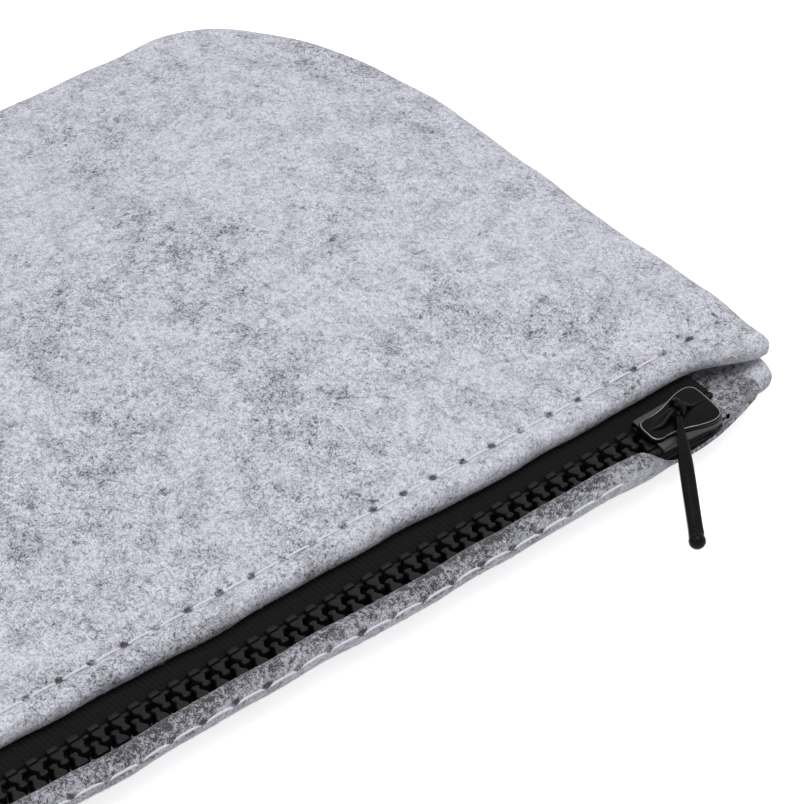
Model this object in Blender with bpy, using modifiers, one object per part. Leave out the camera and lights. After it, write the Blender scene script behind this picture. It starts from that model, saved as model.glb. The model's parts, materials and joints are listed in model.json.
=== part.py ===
"""Flat felt eyeglasses case with a moulded zip along its front long edge.

Units are metres and +Z is up. +X runs along the zip towards its closed end, +Y runs from
the zip to the rear seam, and the origin is on the table under the middle of the case.
"""
import math

import bmesh
import bpy
from mathutils import Matrix, Vector

MM = 0.001

# Clearances
GAP = 0.3 * MM                  # between pieces that touch on the real case
SLIDER_LIFT = 0.35 * MM         # slider above the lower felt
TOOTH_CLEAR = 0.05 * MM         # teeth inside the slider's chamber
TAPE_SLOT = 0.15 * MM           # tape in the slider's side slots, each face
RING_LIFT = 0.2 * MM            # pull ring above the slider's top plate

# Felt panels
CASE_LENGTH = 190.0 * MM
CASE_DEPTH = 95.5 * MM          # front lip of the lower panel to the rear seam
FELT = 2.2 * MM
HEM = 2.6 * MM                  # folded hem of the upper panel, over the tape
CROWN = 6.0 * MM                # rise of the upper panel above its edge
LIP = 0.9 * MM                  # lower lip where it hugs the slider's path
LIP_RISE = 1.3 * MM             # lip above the seam, beside the closed teeth
LIP_DIP = 25.0 * MM             # pressed-down ends of the lip, from the sides
LIP_RAMP = 8.0 * MM
LIP_ROUND = 0.25 * MM
NOSE = 3.6 * MM                 # radius of the lower panel's rolled front
REAR_CORNER_X = 20.0 * MM
REAR_CORNER_Y = 33.0 * MM
FRONT_CORNER_X = 13.0 * MM
FRONT_CORNER_Y = 9.0 * MM
LIP_CORNER = 4.0 * MM           # front corners of the upper panel
TUCK = math.radians(65.0)       # how far each rolled edge turns in to the seam
FLOOR_FILLET = 1.0 * MM

# Thread
THREAD = 0.4 * MM
SEAM_THREAD = 0.5 * MM
THREAD_LIE = 0.1 * MM           # thread above the felt that it lies on
TOPSTITCH_INSET = 2.8 * MM
TOPSTITCH_END = 9.0 * MM        # ends of the stitch lines, from the sides
SEAM_DEPTH = 0.45 * MM
SEAM_START = 5.0 * MM           # seam thread's ends, behind the upper lip
LOWER_STITCH_DROP = 0.9 * MM    # stitch line below the top of the lower lip

# Zip chain
PITCH = 2.54 * MM
CHAIN = 5.0 * MM                # outer edge to outer edge of the two rows
TOOTH_HEIGHT = 1.9 * MM
BAR = 1.5 * MM                  # tooth's foot, along the zip
BAR_DEPTH = 0.8 * MM
NECK = 0.62 * MM
HEAD = 0.98 * MM
HEAD_REACH = 0.42 * MM          # head past the middle of the chain
CORD = 0.7 * MM                 # bead cord that carries a row
CORD_INSET = 0.05 * MM
TAPE = 0.5 * MM
TAPE_WIDTH = 13.0 * MM
TAPE_SHOW = 2.6 * MM            # tape in view between the teeth and the upper lip
TAPE_END = 7.3 * MM             # tape ends, from the sides
LOWER_TAPE_END = 10.0 * MM
TAPE_EDGE = 0.1 * MM            # lower tape's edge inside the lip
STOP = 1.6 * MM
STOP_BEVEL = 0.3 * MM
BOTTOM_STOP_INSET = 10.5 * MM   # outer end of the bottom stop, from the side

# Slider
SLIDER_LENGTH = 10.0 * MM
SLIDER_WIDE = 6.3 * MM
SLIDER_NARROW = 6.0 * MM
SLIDER_INSET = 15.85 * MM       # middle of the slider from the side, zip closed
PLATE = 0.55 * MM
FLANGE = 0.42 * MM
PLATE_BEVEL = 0.45 * MM
SHOULDER_START = -2.0 * MM
SHOULDER_END = 2.2 * MM
SLIDER_CORNER = 1.3 * MM
POST_LENGTH = 2.8 * MM
POST_WIDTH = 1.1 * MM
POST_INSET = 0.7 * MM           # post's blunt end from the slider's mouth
FIRST_TOOTH = -1.09 * MM        # nearest upper tooth from the slider's middle
BRIDGE_LENGTH = 7.4 * MM
BRIDGE_WIDTH = 0.85 * MM
BRIDGE_STRAP = 0.55 * MM
BRIDGE_FOOT = 1.0 * MM

# Pull tab
RING_BORE = 0.7 * MM
RING_WIRE = 0.24 * MM
TAB_LENGTH = 17.4 * MM          # ring centre to bead centre
TAB_NECK = 0.8 * MM
TAB_NECK_THICK = 0.6 * MM
TAB_NECK_LENGTH = 3.4 * MM
TAB_WIDTH = 1.65 * MM
TAB_THICK = 1.35 * MM
TAB_BEAD = 1.95 * MM
TAB_YAW = math.radians(34.4)    # slewed from square to the zip, towards the teeth
TAB_DIP = math.radians(14.75)    # below level

# Heights and places that follow from the sizes above
SLIDER_HALF = TOOTH_HEIGHT / 2 + TOOTH_CLEAR + PLATE
ZIP_Z = FELT + SLIDER_LIFT + SLIDER_HALF
RIM_Z = ZIP_Z - TAPE / 2 - GAP
SEAM_Z = RIM_Z + GAP / 2
UPPER_BASE_Z = RIM_Z + GAP
HEM_Z = ZIP_Z + TAPE / 2 + GAP
HEM_TOP_Z = HEM_Z + HEM
UPPER_ROLL = (HEM_TOP_Z - UPPER_BASE_Z) / (1 + math.sin(TUCK))
LOWER_ROLL = RIM_Z / (1 + math.sin(TUCK))
SIDE_X = CASE_LENGTH / 2
FRONT_Y = -CASE_DEPTH / 2
REAR_Y = CASE_DEPTH / 2
ZIP_Y = FRONT_Y + LIP + GAP + SLIDER_WIDE / 2
LIP_Y = ZIP_Y + CHAIN / 2 + TAPE_SHOW
SLIDER_X = SIDE_X - SLIDER_INSET
BOTTOM_STOP_X = -SIDE_X + BOTTOM_STOP_INSET
CORD_START_X = BOTTOM_STOP_X + STOP + GAP
CORD_END_X = SLIDER_X + SLIDER_LENGTH / 2 + GAP
HINGE_Y = REAR_Y - LOWER_ROLL * (1 - math.cos(TUCK))
RING_OUTER = RING_BORE + 2 * RING_WIRE
PIVOT_Z = SLIDER_HALF + RING_LIFT + RING_OUTER

# Colours, roughness and metallic value of each finish
FELT_GREY = ((0.50, 0.50, 0.53), 0.95, 0.0)
THREAD_GREY = ((0.62, 0.62, 0.65), 0.7, 0.0)
TAPE_BLACK = ((0.018, 0.019, 0.02), 0.85, 0.0)
TOOTH_BLACK = ((0.02, 0.02, 0.021), 0.5, 0.0)
SLIDER_BLACK = ((0.012, 0.012, 0.013), 0.22, 0.0)

RUN_STEPS = 10                  # points on a long straight edge
SIDE_STEPS = 5
CORNER_STEPS = 7
RAMP_STEPS = 4
ROLL_STEPS = 6
CROWN_SHARES = (0.12, 0.28, 0.46, 0.66, 0.84)


def clear_scene():
    for item in list(bpy.data.objects):
        bpy.data.objects.remove(item, do_unlink=True)


def make_collection(name):
    collection = bpy.data.collections.new(name)
    bpy.context.scene.collection.children.link(collection)
    return collection


clear_scene()
CASE = make_collection("eyeglasses_case")
CUTTERS = make_collection("cutters")


def finish_material(name, finish):
    colour, roughness, metallic = finish
    material = bpy.data.materials.new(name + "_finish")
    material.use_nodes = True
    shader = material.node_tree.nodes["Principled BSDF"]
    shader.inputs["Base Color"].default_value = (*colour, 1.0)
    shader.inputs["Roughness"].default_value = roughness
    shader.inputs["Metallic"].default_value = metallic
    return material


def add_object(name, bm, finish=None):
    """A part with its own finish, or a hidden cutter when no finish is given."""
    bmesh.ops.recalc_face_normals(bm, faces=bm.faces)
    mesh = bpy.data.meshes.new(name)
    bm.to_mesh(mesh)
    bm.free()
    item = bpy.data.objects.new(name, mesh)
    if finish is None:
        item.hide_render = True
        item.display_type = "WIRE"
        CUTTERS.objects.link(item)
        return item
    mesh.materials.append(finish_material(name, finish))
    mesh.shade_smooth()
    mesh.set_sharp_from_angle(angle=math.radians(35.0))
    CASE.objects.link(item)
    return item


def add_empty(name, place, turn=(0.0, 0.0, 0.0), parent=None):
    empty = bpy.data.objects.new(name, None)
    empty.empty_display_size = 3 * MM
    empty.parent = parent
    empty.location = place
    empty.rotation_euler = turn
    CASE.objects.link(empty)
    return empty


def hang_on(item, empty):
    """Parent a piece that is modelled in the case's frame, without moving it."""
    bpy.context.view_layer.update()
    item.parent = empty
    item.matrix_parent_inverse = empty.matrix_world.inverted()


def boolean(item, other, operation):
    modifier = item.modifiers.new(operation.lower(), "BOOLEAN")
    modifier.operation = operation
    modifier.object = other


def bevel(item, width, segments=2):
    modifier = item.modifiers.new("bevel", "BEVEL")
    modifier.width = width
    modifier.segments = segments
    modifier.limit_method = "ANGLE"
    modifier.angle_limit = math.radians(40.0)


def slab_into(bm, outline, low, high):
    """Add a flat outline with a thickness, from height low to height high."""
    corners = [bm.verts.new((x, y, low)) for x, y in outline]
    face = bm.faces.new(corners)
    lifted = bmesh.ops.extrude_face_region(bm, geom=[face])["geom"]
    tops = [part for part in lifted if isinstance(part, bmesh.types.BMVert)]
    bmesh.ops.translate(bm, verts=tops, vec=(0, 0, high - low))


def slab(name, outline, low, high, finish=None):
    bm = bmesh.new()
    slab_into(bm, outline, low, high)
    return add_object(name, bm, finish)


def block(name, low, high, finish=None):
    bm = bmesh.new()
    size = [b - a for a, b in zip(low, high)]
    middle = [(a + b) / 2 for a, b in zip(low, high)]
    place = Matrix.Translation(middle) @ Matrix.Diagonal((*size, 1.0))
    bmesh.ops.create_cube(bm, size=1.0, matrix=place)
    return add_object(name, bm, finish)


def loft(name, rings, finish=None):
    """A closed solid through rings of equal point count, capped at both ends."""
    bm = bmesh.new()
    rows = [[bm.verts.new(point) for point in ring] for ring in rings]
    count = len(rows[0])
    for lower, upper in zip(rows, rows[1:]):
        for i in range(count):
            j = (i + 1) % count
            bm.faces.new((lower[i], lower[j], upper[j], upper[i]))
    bm.faces.new(rows[0])
    bm.faces.new(rows[-1])
    return add_object(name, bm, finish)


def tube(name, points, radius, finish):
    """A thread along a line of points, with filled ends."""
    curve = bpy.data.curves.new(name, "CURVE")
    curve.dimensions = "3D"
    curve.bevel_depth = radius
    curve.bevel_resolution = 1
    curve.use_fill_caps = True
    spline = curve.splines.new("POLY")
    spline.points.add(len(points) - 1)
    for target, point in zip(spline.points, points):
        target.co = (*point, 1.0)
    curve.materials.append(finish_material(name, finish))
    item = bpy.data.objects.new(name, curve)
    CASE.objects.link(item)
    return item


def straight_run(start, end, steps):
    return [tuple(a + (b - a) * k / steps for a, b in zip(start, end)) for k in range(steps)]


def quarter_ellipse(centre, radii, start, steps):
    points = []
    for k in range(steps):
        angle = math.radians(start + 90.0 * k / steps)
        points.append((centre[0] + radii[0] * math.cos(angle), centre[1] + radii[1] * math.sin(angle)))
    return points


def panel_outline(front, front_radii, stations):
    """A panel's plan, anticlockwise along its straight front edge from the left."""
    fx, fy = front_radii
    rx, ry = REAR_CORNER_X, REAR_CORNER_Y
    points = [(x, front) for x in stations]
    points += quarter_ellipse((SIDE_X - fx, front + fy), (fx, fy), -90, CORNER_STEPS)
    points += straight_run((SIDE_X, front + fy), (SIDE_X, REAR_Y - ry), SIDE_STEPS)
    points += quarter_ellipse((SIDE_X - rx, REAR_Y - ry), (rx, ry), 0, CORNER_STEPS)
    points += straight_run((SIDE_X - rx, REAR_Y), (-SIDE_X + rx, REAR_Y), RUN_STEPS)
    points += quarter_ellipse((-SIDE_X + rx, REAR_Y - ry), (rx, ry), 90, CORNER_STEPS)
    points += straight_run((-SIDE_X, REAR_Y - ry), (-SIDE_X, front + fy), SIDE_STEPS)
    points += quarter_ellipse((-SIDE_X + fx, front + fy), (fx, fy), 180, CORNER_STEPS)
    return points


def upper_outline():
    half = SIDE_X - LIP_CORNER
    stations = [x for x, _ in straight_run((-half, 0.0), (half, 0.0), RUN_STEPS)]
    return panel_outline(LIP_Y, (LIP_CORNER, LIP_CORNER), stations)


def lip_stations():
    """Places along the lower lip, close together where it rises from its pressed ends."""
    end = SIDE_X - FRONT_CORNER_X
    foot = SIDE_X - LIP_DIP
    crest = foot - LIP_RAMP
    ramp = [foot + (crest - foot) * k / RAMP_STEPS for k in range(RAMP_STEPS + 1)]
    right = [x for x in [(end + foot) / 2] + ramp + [crest * 0.6, crest * 0.25]]
    return [-end] + [-x for x in right] + [x for x in reversed(right)]


def lip_rise(x):
    """Share of the lip's full rise at a place along the zip."""
    past = (SIDE_X - LIP_DIP - abs(x)) / LIP_RAMP
    past = max(0.0, min(1.0, past))
    return past * past * (3 - 2 * past)


def outward_normals(outline):
    normals = []
    count = len(outline)
    for i in range(count):
        ahead, behind = outline[(i + 1) % count], outline[i - 1]
        along = Vector((ahead[0] - behind[0], ahead[1] - behind[1])).normalized()
        normals.append((along.y, -along.x))
    return normals


def inset_ring(outline, normals, insets, heights):
    return [
        (x - nx * inset, y - ny * inset, z)
        for (x, y), (nx, ny), inset, z in zip(outline, normals, insets, heights)
    ]


def even_ring(outline, normals, inset, height):
    count = len(outline)
    return inset_ring(outline, normals, [inset] * count, [height] * count)


def blend(a, b, share):
    return a + (b - a) * share


def toward_crown(ring, share, height):
    """Draw a ring in towards the middle of the panel, rounding it to an ellipse on the way."""
    middle = (LIP_Y + REAR_Y) / 2
    half_depth = (REAR_Y - LIP_Y) / 2
    edge = CROWN_SHARES[0]
    rounding = max(0.0, (share - edge) / (CROWN_SHARES[-1] - edge))
    rounding = rounding * rounding * (3 - 2 * rounding)
    drawn = []
    for x, y, _ in ring:
        turn = math.atan2((y - middle) / half_depth, x / SIDE_X)
        round_x = blend(x, SIDE_X * math.cos(turn), rounding)
        round_y = blend(y - middle, half_depth * math.sin(turn), rounding)
        drawn.append((round_x * (1 - share), middle + round_y * (1 - share), height))
    return drawn


def crown_rise(share):
    return CROWN * math.sin(share * math.pi / 2)


def front_share(normals):
    """1 along the front edge of a panel, falling to 0 round its front corners."""
    return [max(0.0, -ny) ** 2 for _, ny in normals]


def upper_felt_panel(hinge):
    """Crowned felt with rolled edges and the hem that overhangs the zip."""
    outline = upper_outline()
    normals = outward_normals(outline)
    middle_z = HEM_TOP_Z - UPPER_ROLL
    rings = []
    for k in range(ROLL_STEPS + 1):
        turn = -TUCK + (TUCK + math.pi / 2) * k / ROLL_STEPS
        inset = UPPER_ROLL * (1 - math.cos(turn))
        rings.append(even_ring(outline, normals, inset, middle_z + UPPER_ROLL * math.sin(turn)))
    edge = rings[-1]
    for share in CROWN_SHARES:
        rings.append(toward_crown(edge, share, HEM_TOP_Z + crown_rise(share)))
    panel = loft("upper_felt_panel", rings, FELT_GREY)

    roof = HEM_TOP_Z - FELT
    inside = even_ring(outline, normals, FELT, UPPER_BASE_Z - FELT)
    hollow = [inside, even_ring(outline, normals, FELT, roof - GAP)]
    for share in (FELT / CASE_DEPTH * 2,) + CROWN_SHARES:
        hollow.append(toward_crown(inside, share, roof + crown_rise(share)))
    boolean(panel, loft("upper_hollow", hollow), "DIFFERENCE")

    reach = SIDE_X - TAPE_END + 2 * GAP
    relief = block(
        "hem_relief",
        (-reach, LIP_Y - FELT, UPPER_BASE_Z - FELT),
        (reach, LIP_Y + 2 * FELT, HEM_Z),
    )
    boolean(panel, relief, "DIFFERENCE")
    hang_on(panel, hinge)


def nose_inset(radius, height):
    """How far the rolled front stands back from the lip's front at a height."""
    return NOSE - math.sqrt(max(0.0, radius ** 2 - max(0.0, NOSE - height) ** 2))


def rim_height(x, front):
    """Top of the lower panel: the seam all round, and the raised lip along the zip."""
    return RIM_Z + LIP_RISE * lip_rise(x) * front


def lower_felt_panel():
    """Tray that lies on the table: flat floor, rolled sides and the lip in front of the zip."""
    radii = (FRONT_CORNER_X, FRONT_CORNER_Y)
    outline = panel_outline(FRONT_Y, radii, lip_stations())
    normals = outward_normals(outline)
    fronts = front_share(normals)
    rims = [rim_height(point[0], front) for point, front in zip(outline, fronts)]
    rings = []
    for k in range(ROLL_STEPS + 1):
        turn = -math.pi / 2 + (TUCK + math.pi / 2) * k / ROLL_STEPS
        side_inset = LOWER_ROLL * (1 - math.cos(turn))
        share = (1 + math.sin(turn)) / (1 + math.sin(TUCK))
        heights = [rim * share for rim in rims]
        over = LIP_ROUND if k == ROLL_STEPS else 0.0
        insets = [
            blend(side_inset, nose_inset(NOSE, height) + over, front)
            for height, front in zip(heights, fronts)
        ]
        rings.append(inset_ring(outline, normals, insets, heights))
    for share in (1.0, 0.6, 0.3, 0.12, 0.0):
        heights = [FELT + (rim - FELT) * share for rim in rims]
        insets = []
        for height, front in zip(heights, fronts):
            drop = FLOOR_FILLET - min(height - FELT, FLOOR_FILLET)
            side_inset = FELT + FLOOR_FILLET - math.sqrt(FLOOR_FILLET ** 2 - drop ** 2)
            insets.append(blend(side_inset, nose_inset(NOSE - LIP, height), front))
        rings.append(inset_ring(outline, normals, insets, heights))
    loft("lower_felt_panel", rings, FELT_GREY)


def upper_topstitch(hinge):
    """Needle thread along the hem, lying on the felt."""
    share = (TOPSTITCH_INSET - UPPER_ROLL) / ((REAR_Y - LIP_Y) / 2 - UPPER_ROLL)
    rise = crown_rise(CROWN_SHARES[0]) * share / CROWN_SHARES[0]
    height = HEM_TOP_Z + rise + THREAD_LIE + THREAD / 2
    end = SIDE_X - TOPSTITCH_END
    place = LIP_Y + TOPSTITCH_INSET
    thread = tube("upper_topstitch", [(-end, place, height), (end, place, height)], THREAD / 2, THREAD_GREY)
    hang_on(thread, hinge)


def lower_topstitch():
    """Needle thread along the front of the lower lip, following its rise."""
    path = []
    for x in lip_stations():
        height = rim_height(x, 1.0) - LOWER_STITCH_DROP
        path.append((x, FRONT_Y + nose_inset(NOSE, height) - THREAD_LIE - THREAD / 2, height))
    tube("lower_topstitch", path, THREAD / 2, THREAD_GREY)


def seam_thread():
    """Closing seam in the groove between the panels, round the sides and the rear."""
    outline = upper_outline()
    ring = even_ring(outline, outward_normals(outline), SEAM_DEPTH, SEAM_Z)
    start = LIP_Y + SEAM_START
    path = [point for point in ring if point[1] > start]
    ends = SIDE_X - SEAM_DEPTH
    path = [(ends, start, SEAM_Z)] + path + [(-ends, start, SEAM_Z)]
    tube("seam_thread", path, SEAM_THREAD / 2, THREAD_GREY)


def front_lip_y(x):
    """Front of the lower panel in plan, rounding off at its corners."""
    past = max(0.0, abs(x) - (SIDE_X - FRONT_CORNER_X)) / FRONT_CORNER_X
    return FRONT_Y + FRONT_CORNER_Y * (1 - math.sqrt(1 - past ** 2))


def zip_tapes(hinge):
    """Woven tapes: the upper one runs in under the hem, the lower one in behind the lip."""
    low, high = ZIP_Z - TAPE / 2, ZIP_Z + TAPE / 2
    end = SIDE_X - TAPE_END
    edge = ZIP_Y + CHAIN / 2 + GAP
    upper = block("upper_zip_tape", (-end, edge, low), (end, edge + TAPE_WIDTH, high), TAPE_BLACK)
    hang_on(upper, hinge)

    end = SIDE_X - LOWER_TAPE_END
    steps = 2 * RUN_STEPS
    outline = [(end, ZIP_Y - CHAIN / 2 - GAP), (-end, ZIP_Y - CHAIN / 2 - GAP)]
    for k in range(steps + 1):
        x = -end + 2 * end * k / steps
        outline.append((x, front_lip_y(x) + LIP + TAPE_EDGE))
    slab("lower_zip_tape", outline, low, high, TAPE_BLACK)


def tooth_outline(x, foot_y, way):
    """Plan of one tooth from its foot to its flared head; way is -1 or +1 along Y."""
    reach = CHAIN / 2 + HEAD_REACH
    half = (
        (BAR / 2, 0.0),
        (BAR / 2, BAR_DEPTH),
        (NECK / 2, reach * 0.62),
        (HEAD / 2, reach * 0.82),
        (HEAD / 2, reach * 0.93),
        (HEAD / 4, reach),
    )
    right = [(x + w, foot_y + way * d) for w, d in half]
    left = [(x - w, foot_y + way * d) for w, d in reversed(half)]
    return right + left


def teeth_row(name, last_x, way, hinge=None):
    """A bead cord with its moulded teeth, from the bottom stop to the slider's mouth."""
    foot_y = ZIP_Y - way * CHAIN / 2
    near = foot_y + way * CORD_INSET
    far = near + way * CORD
    half = CORD / 2
    row = block(
        name,
        (CORD_START_X, min(near, far), ZIP_Z - half),
        (CORD_END_X, max(near, far), ZIP_Z + half),
        TOOTH_BLACK,
    )
    blanks = bmesh.new()
    x = last_x
    while x - BAR / 2 > CORD_START_X:
        slab_into(blanks, tooth_outline(x, foot_y, way), ZIP_Z - TOOTH_HEIGHT / 2, ZIP_Z + TOOTH_HEIGHT / 2)
        x -= PITCH
    boolean(row, add_object(name + "_blanks", blanks), "UNION")
    if hinge:
        hang_on(row, hinge)


def zip_stops(hinge):
    """End blocks: one on each tape at the closed end, one across both rows at the other."""
    half = TOOTH_HEIGHT / 2
    start = CORD_END_X + GAP
    edge = CHAIN / 2
    upper = block(
        "upper_top_stop",
        (start, ZIP_Y + edge - BAR_DEPTH, ZIP_Z - half),
        (start + STOP, ZIP_Y + edge, ZIP_Z + half),
        TOOTH_BLACK,
    )
    bevel(upper, STOP_BEVEL)
    hang_on(upper, hinge)
    lower = block(
        "lower_top_stop",
        (start, ZIP_Y - edge, ZIP_Z - half),
        (start + STOP, ZIP_Y - edge + BAR_DEPTH, ZIP_Z + half),
        TOOTH_BLACK,
    )
    bevel(lower, STOP_BEVEL)
    bottom = block(
        "bottom_stop",
        (BOTTOM_STOP_X, ZIP_Y - edge, ZIP_Z - half),
        (BOTTOM_STOP_X + STOP, ZIP_Y + edge, ZIP_Z + half),
        TOOTH_BLACK,
    )
    bevel(bottom, STOP_BEVEL)


def slider_half_width(x):
    """Half width of the slider's plates: narrow over the closed teeth, wide at the mouth."""
    share = max(0.0, min(1.0, (x - SHOULDER_START) / (SHOULDER_END - SHOULDER_START)))
    share = share * share * (3 - 2 * share)
    return blend(SLIDER_NARROW, SLIDER_WIDE, share) / 2


def slider_outline(inset, overrun):
    """Plan of the slider, drawn in by inset and lengthened at both ends by overrun."""
    half = SLIDER_LENGTH / 2 + overrun
    steps = 14
    side = []
    for k in range(steps + 1):
        x = -half + 2 * half * k / steps
        side.append((x, slider_half_width(x) - inset))
    if not overrun:
        start, end = -half, half
        side = [(start, side[0][1] - SLIDER_CORNER / 2)]
        side += [(start + SLIDER_CORNER / 2, slider_half_width(start))]
        for k in range(steps + 1):
            x = SHOULDER_START + (SHOULDER_END - SHOULDER_START) * k / steps
            side.append((x, slider_half_width(x)))
        for k in range(1, 6):
            angle = math.radians(90.0 * k / 5)
            x = end - SLIDER_CORNER + SLIDER_CORNER * math.sin(angle)
            side.append((x, SLIDER_WIDE / 2 - SLIDER_CORNER + SLIDER_CORNER * math.cos(angle)))
    return side + [(x, -y) for x, y in reversed(side)]


def slider_post():
    """Wedge that parts the rows, pointed towards the closed teeth."""
    end = SLIDER_LENGTH / 2 - POST_INSET
    start = end - POST_LENGTH
    half = POST_WIDTH / 2
    return [(start, 0.0), (start + POST_LENGTH / 2, -half), (end, -half), (end, half), (start + POST_LENGTH / 2, half)]


def slider_body(carriage):
    """Two plates with turned-in flanges, joined by the post between the rows."""
    chamber_half = TOOTH_HEIGHT / 2 + TOOTH_CLEAR
    body = slab("slider_body", slider_outline(0.0, 0.0), -SLIDER_HALF, SLIDER_HALF, SLIDER_BLACK)
    bevel(body, PLATE_BEVEL)
    chamber = slab("slider_chamber", slider_outline(FLANGE, FLANGE), -chamber_half, chamber_half)
    slot_half = TAPE / 2 + TAPE_SLOT
    slot = block(
        "tape_slot",
        (-SLIDER_LENGTH, -SLIDER_WIDE, -slot_half),
        (SLIDER_LENGTH, SLIDER_WIDE, slot_half),
    )
    post = slab("slider_post", slider_post(), -chamber_half - PLATE / 2, chamber_half + PLATE / 2)
    boolean(body, chamber, "DIFFERENCE")
    boolean(body, slot, "DIFFERENCE")
    boolean(body, post, "UNION")
    for piece in (body, chamber, slot, post):
        piece.parent = carriage


def slider_bridge(carriage):
    """Arched crown along the top plate that the pull ring hangs on."""
    base = SLIDER_HALF + GAP
    top = PIVOT_Z + BRIDGE_STRAP / 2
    under = PIVOT_Z - BRIDGE_STRAP / 2
    half = BRIDGE_LENGTH / 2
    shoulder = (top - base) / 2
    inner = half - BRIDGE_FOOT
    arch = [
        (half, base),
        (half - shoulder * 0.3, top - shoulder * 0.6),
        (half - shoulder, top),
        (-half + shoulder, top),
        (-half + shoulder * 0.3, top - shoulder * 0.6),
        (-half, base),
        (-inner, base),
        (-inner + shoulder * 0.3, under),
        (inner - shoulder * 0.3, under),
        (inner, base),
    ]
    bridge = slab("slider_bridge", arch, -BRIDGE_WIDTH / 2, BRIDGE_WIDTH / 2, SLIDER_BLACK)
    bevel(bridge, BRIDGE_STRAP / 5)
    bridge.rotation_euler = (math.pi / 2, 0.0, 0.0)
    bridge.parent = carriage


def tab_section(along, width, thick):
    """Rounded rectangle across the pull tab, at a distance from the ring's centre."""
    points = []
    for k in range(12):
        angle = 2 * math.pi * (k + 0.5) / 12
        c, s = math.cos(angle), math.sin(angle)
        y = width / 2 * math.copysign(abs(c) ** 0.6, c)
        z = thick / 2 * math.copysign(abs(s) ** 0.6, s)
        points.append((along, y, z))
    return points


def pull_tab(pivot):
    """Ring round the bridge, thin neck, slim bar and a bead at its end."""
    neck_end = RING_OUTER + TAB_NECK_LENGTH
    shoulder = neck_end + TAB_WIDTH
    sections = [
        tab_section(RING_BORE + RING_WIRE, TAB_NECK, TAB_NECK_THICK),
        tab_section(neck_end, TAB_NECK, TAB_NECK_THICK),
        tab_section(shoulder, TAB_WIDTH * 0.9, TAB_THICK * 0.9),
        tab_section(TAB_LENGTH, TAB_WIDTH, TAB_THICK),
    ]
    tab = loft("pull_tab", sections, SLIDER_BLACK)
    ring = bmesh.new()
    bmesh.ops.create_circle(
        ring, segments=8, radius=RING_WIRE,
        matrix=Matrix.Translation((RING_BORE + RING_WIRE, 0, 0)) @ Matrix.Rotation(math.pi / 2, 4, "X"),
    )
    bmesh.ops.spin(
        ring, geom=ring.verts[:] + ring.edges[:], cent=(0, 0, 0), axis=(0, 0, 1),
        angle=2 * math.pi, steps=20, use_merge=True,
    )
    bmesh.ops.remove_doubles(ring, verts=ring.verts, dist=MM / 100)
    bmesh.ops.rotate(ring, verts=ring.verts, cent=(0, 0, 0), matrix=Matrix.Rotation(math.pi / 2, 3, "X"))
    loop = add_object("pull_ring_blank", ring)
    bead = bmesh.new()
    bmesh.ops.create_uvsphere(
        bead, u_segments=12, v_segments=8, radius=TAB_BEAD / 2,
        matrix=Matrix.Translation((TAB_LENGTH, 0, 0)),
    )
    knob = add_object("pull_bead_blank", bead)
    boolean(tab, loop, "UNION")
    boolean(tab, knob, "UNION")
    for piece in (tab, loop, knob):
        piece.parent = pivot


def build():
    hinge = add_empty("mouth_hinge", (0.0, HINGE_Y, SEAM_Z))
    carriage = add_empty("slider_carriage", (SLIDER_X, ZIP_Y, ZIP_Z))
    forward = -math.pi / 2 - TAB_YAW
    pivot = add_empty("pull_pivot", (0.0, 0.0, PIVOT_Z), (0.0, TAB_DIP, forward), carriage)
    lower_felt_panel()
    upper_felt_panel(hinge)
    seam_thread()
    upper_topstitch(hinge)
    lower_topstitch()
    zip_tapes(hinge)
    first = SLIDER_X + FIRST_TOOTH
    teeth_row("upper_teeth", first, -1, hinge)
    teeth_row("lower_teeth", first + PITCH / 2, 1)
    zip_stops(hinge)
    slider_body(carriage)
    slider_bridge(carriage)
    pull_tab(pivot)


build()
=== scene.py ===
"""Looks of the felt eyeglasses case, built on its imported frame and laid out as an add-on."""
import json
import math

import bmesh
import bpy
import numpy as np
from bpy.props import FloatProperty, FloatVectorProperty, PointerProperty
from mathutils import Matrix, Vector


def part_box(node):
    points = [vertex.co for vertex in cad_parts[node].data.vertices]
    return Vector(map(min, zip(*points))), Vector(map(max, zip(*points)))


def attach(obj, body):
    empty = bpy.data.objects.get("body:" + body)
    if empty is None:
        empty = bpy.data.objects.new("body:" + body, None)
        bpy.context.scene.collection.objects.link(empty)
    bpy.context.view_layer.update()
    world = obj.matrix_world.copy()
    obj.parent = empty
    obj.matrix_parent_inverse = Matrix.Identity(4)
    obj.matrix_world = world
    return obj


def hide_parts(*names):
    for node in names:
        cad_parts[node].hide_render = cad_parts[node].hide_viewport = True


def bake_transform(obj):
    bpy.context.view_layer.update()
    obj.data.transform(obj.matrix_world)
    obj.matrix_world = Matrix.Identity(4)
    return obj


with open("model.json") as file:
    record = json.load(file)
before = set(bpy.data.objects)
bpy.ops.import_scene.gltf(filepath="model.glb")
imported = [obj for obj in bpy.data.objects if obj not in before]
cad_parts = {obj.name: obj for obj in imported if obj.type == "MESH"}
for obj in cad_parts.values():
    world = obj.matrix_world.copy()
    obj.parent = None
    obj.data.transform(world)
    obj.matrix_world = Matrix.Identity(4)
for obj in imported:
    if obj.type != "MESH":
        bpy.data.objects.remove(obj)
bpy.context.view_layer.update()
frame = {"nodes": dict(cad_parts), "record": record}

bl_info = {
    "name": "Felt Eyeglasses Case",
    "version": (1, 0, 0),
    "blender": (4, 5, 0),
    "location": "View3D > Sidebar > Felt Case",
    "description": "Dresses the frame of a zipped felt eyeglasses case",
    "category": "Object",
}

MM = 0.001


def cad_box(node):
    """Lowest and highest corner of a CAD node, in millimetres."""
    low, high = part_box(node)
    return np.array(low) / MM, np.array(high) / MM


def joint_place(name):
    """A hinge's place in the frame, in millimetres."""
    for joint in frame["record"]["behaviour"]["joints"]:
        if joint["name"] == name:
            return np.array(joint["pos_m"]) / MM
    raise ValueError(f"the record has no joint named {name}")


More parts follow.
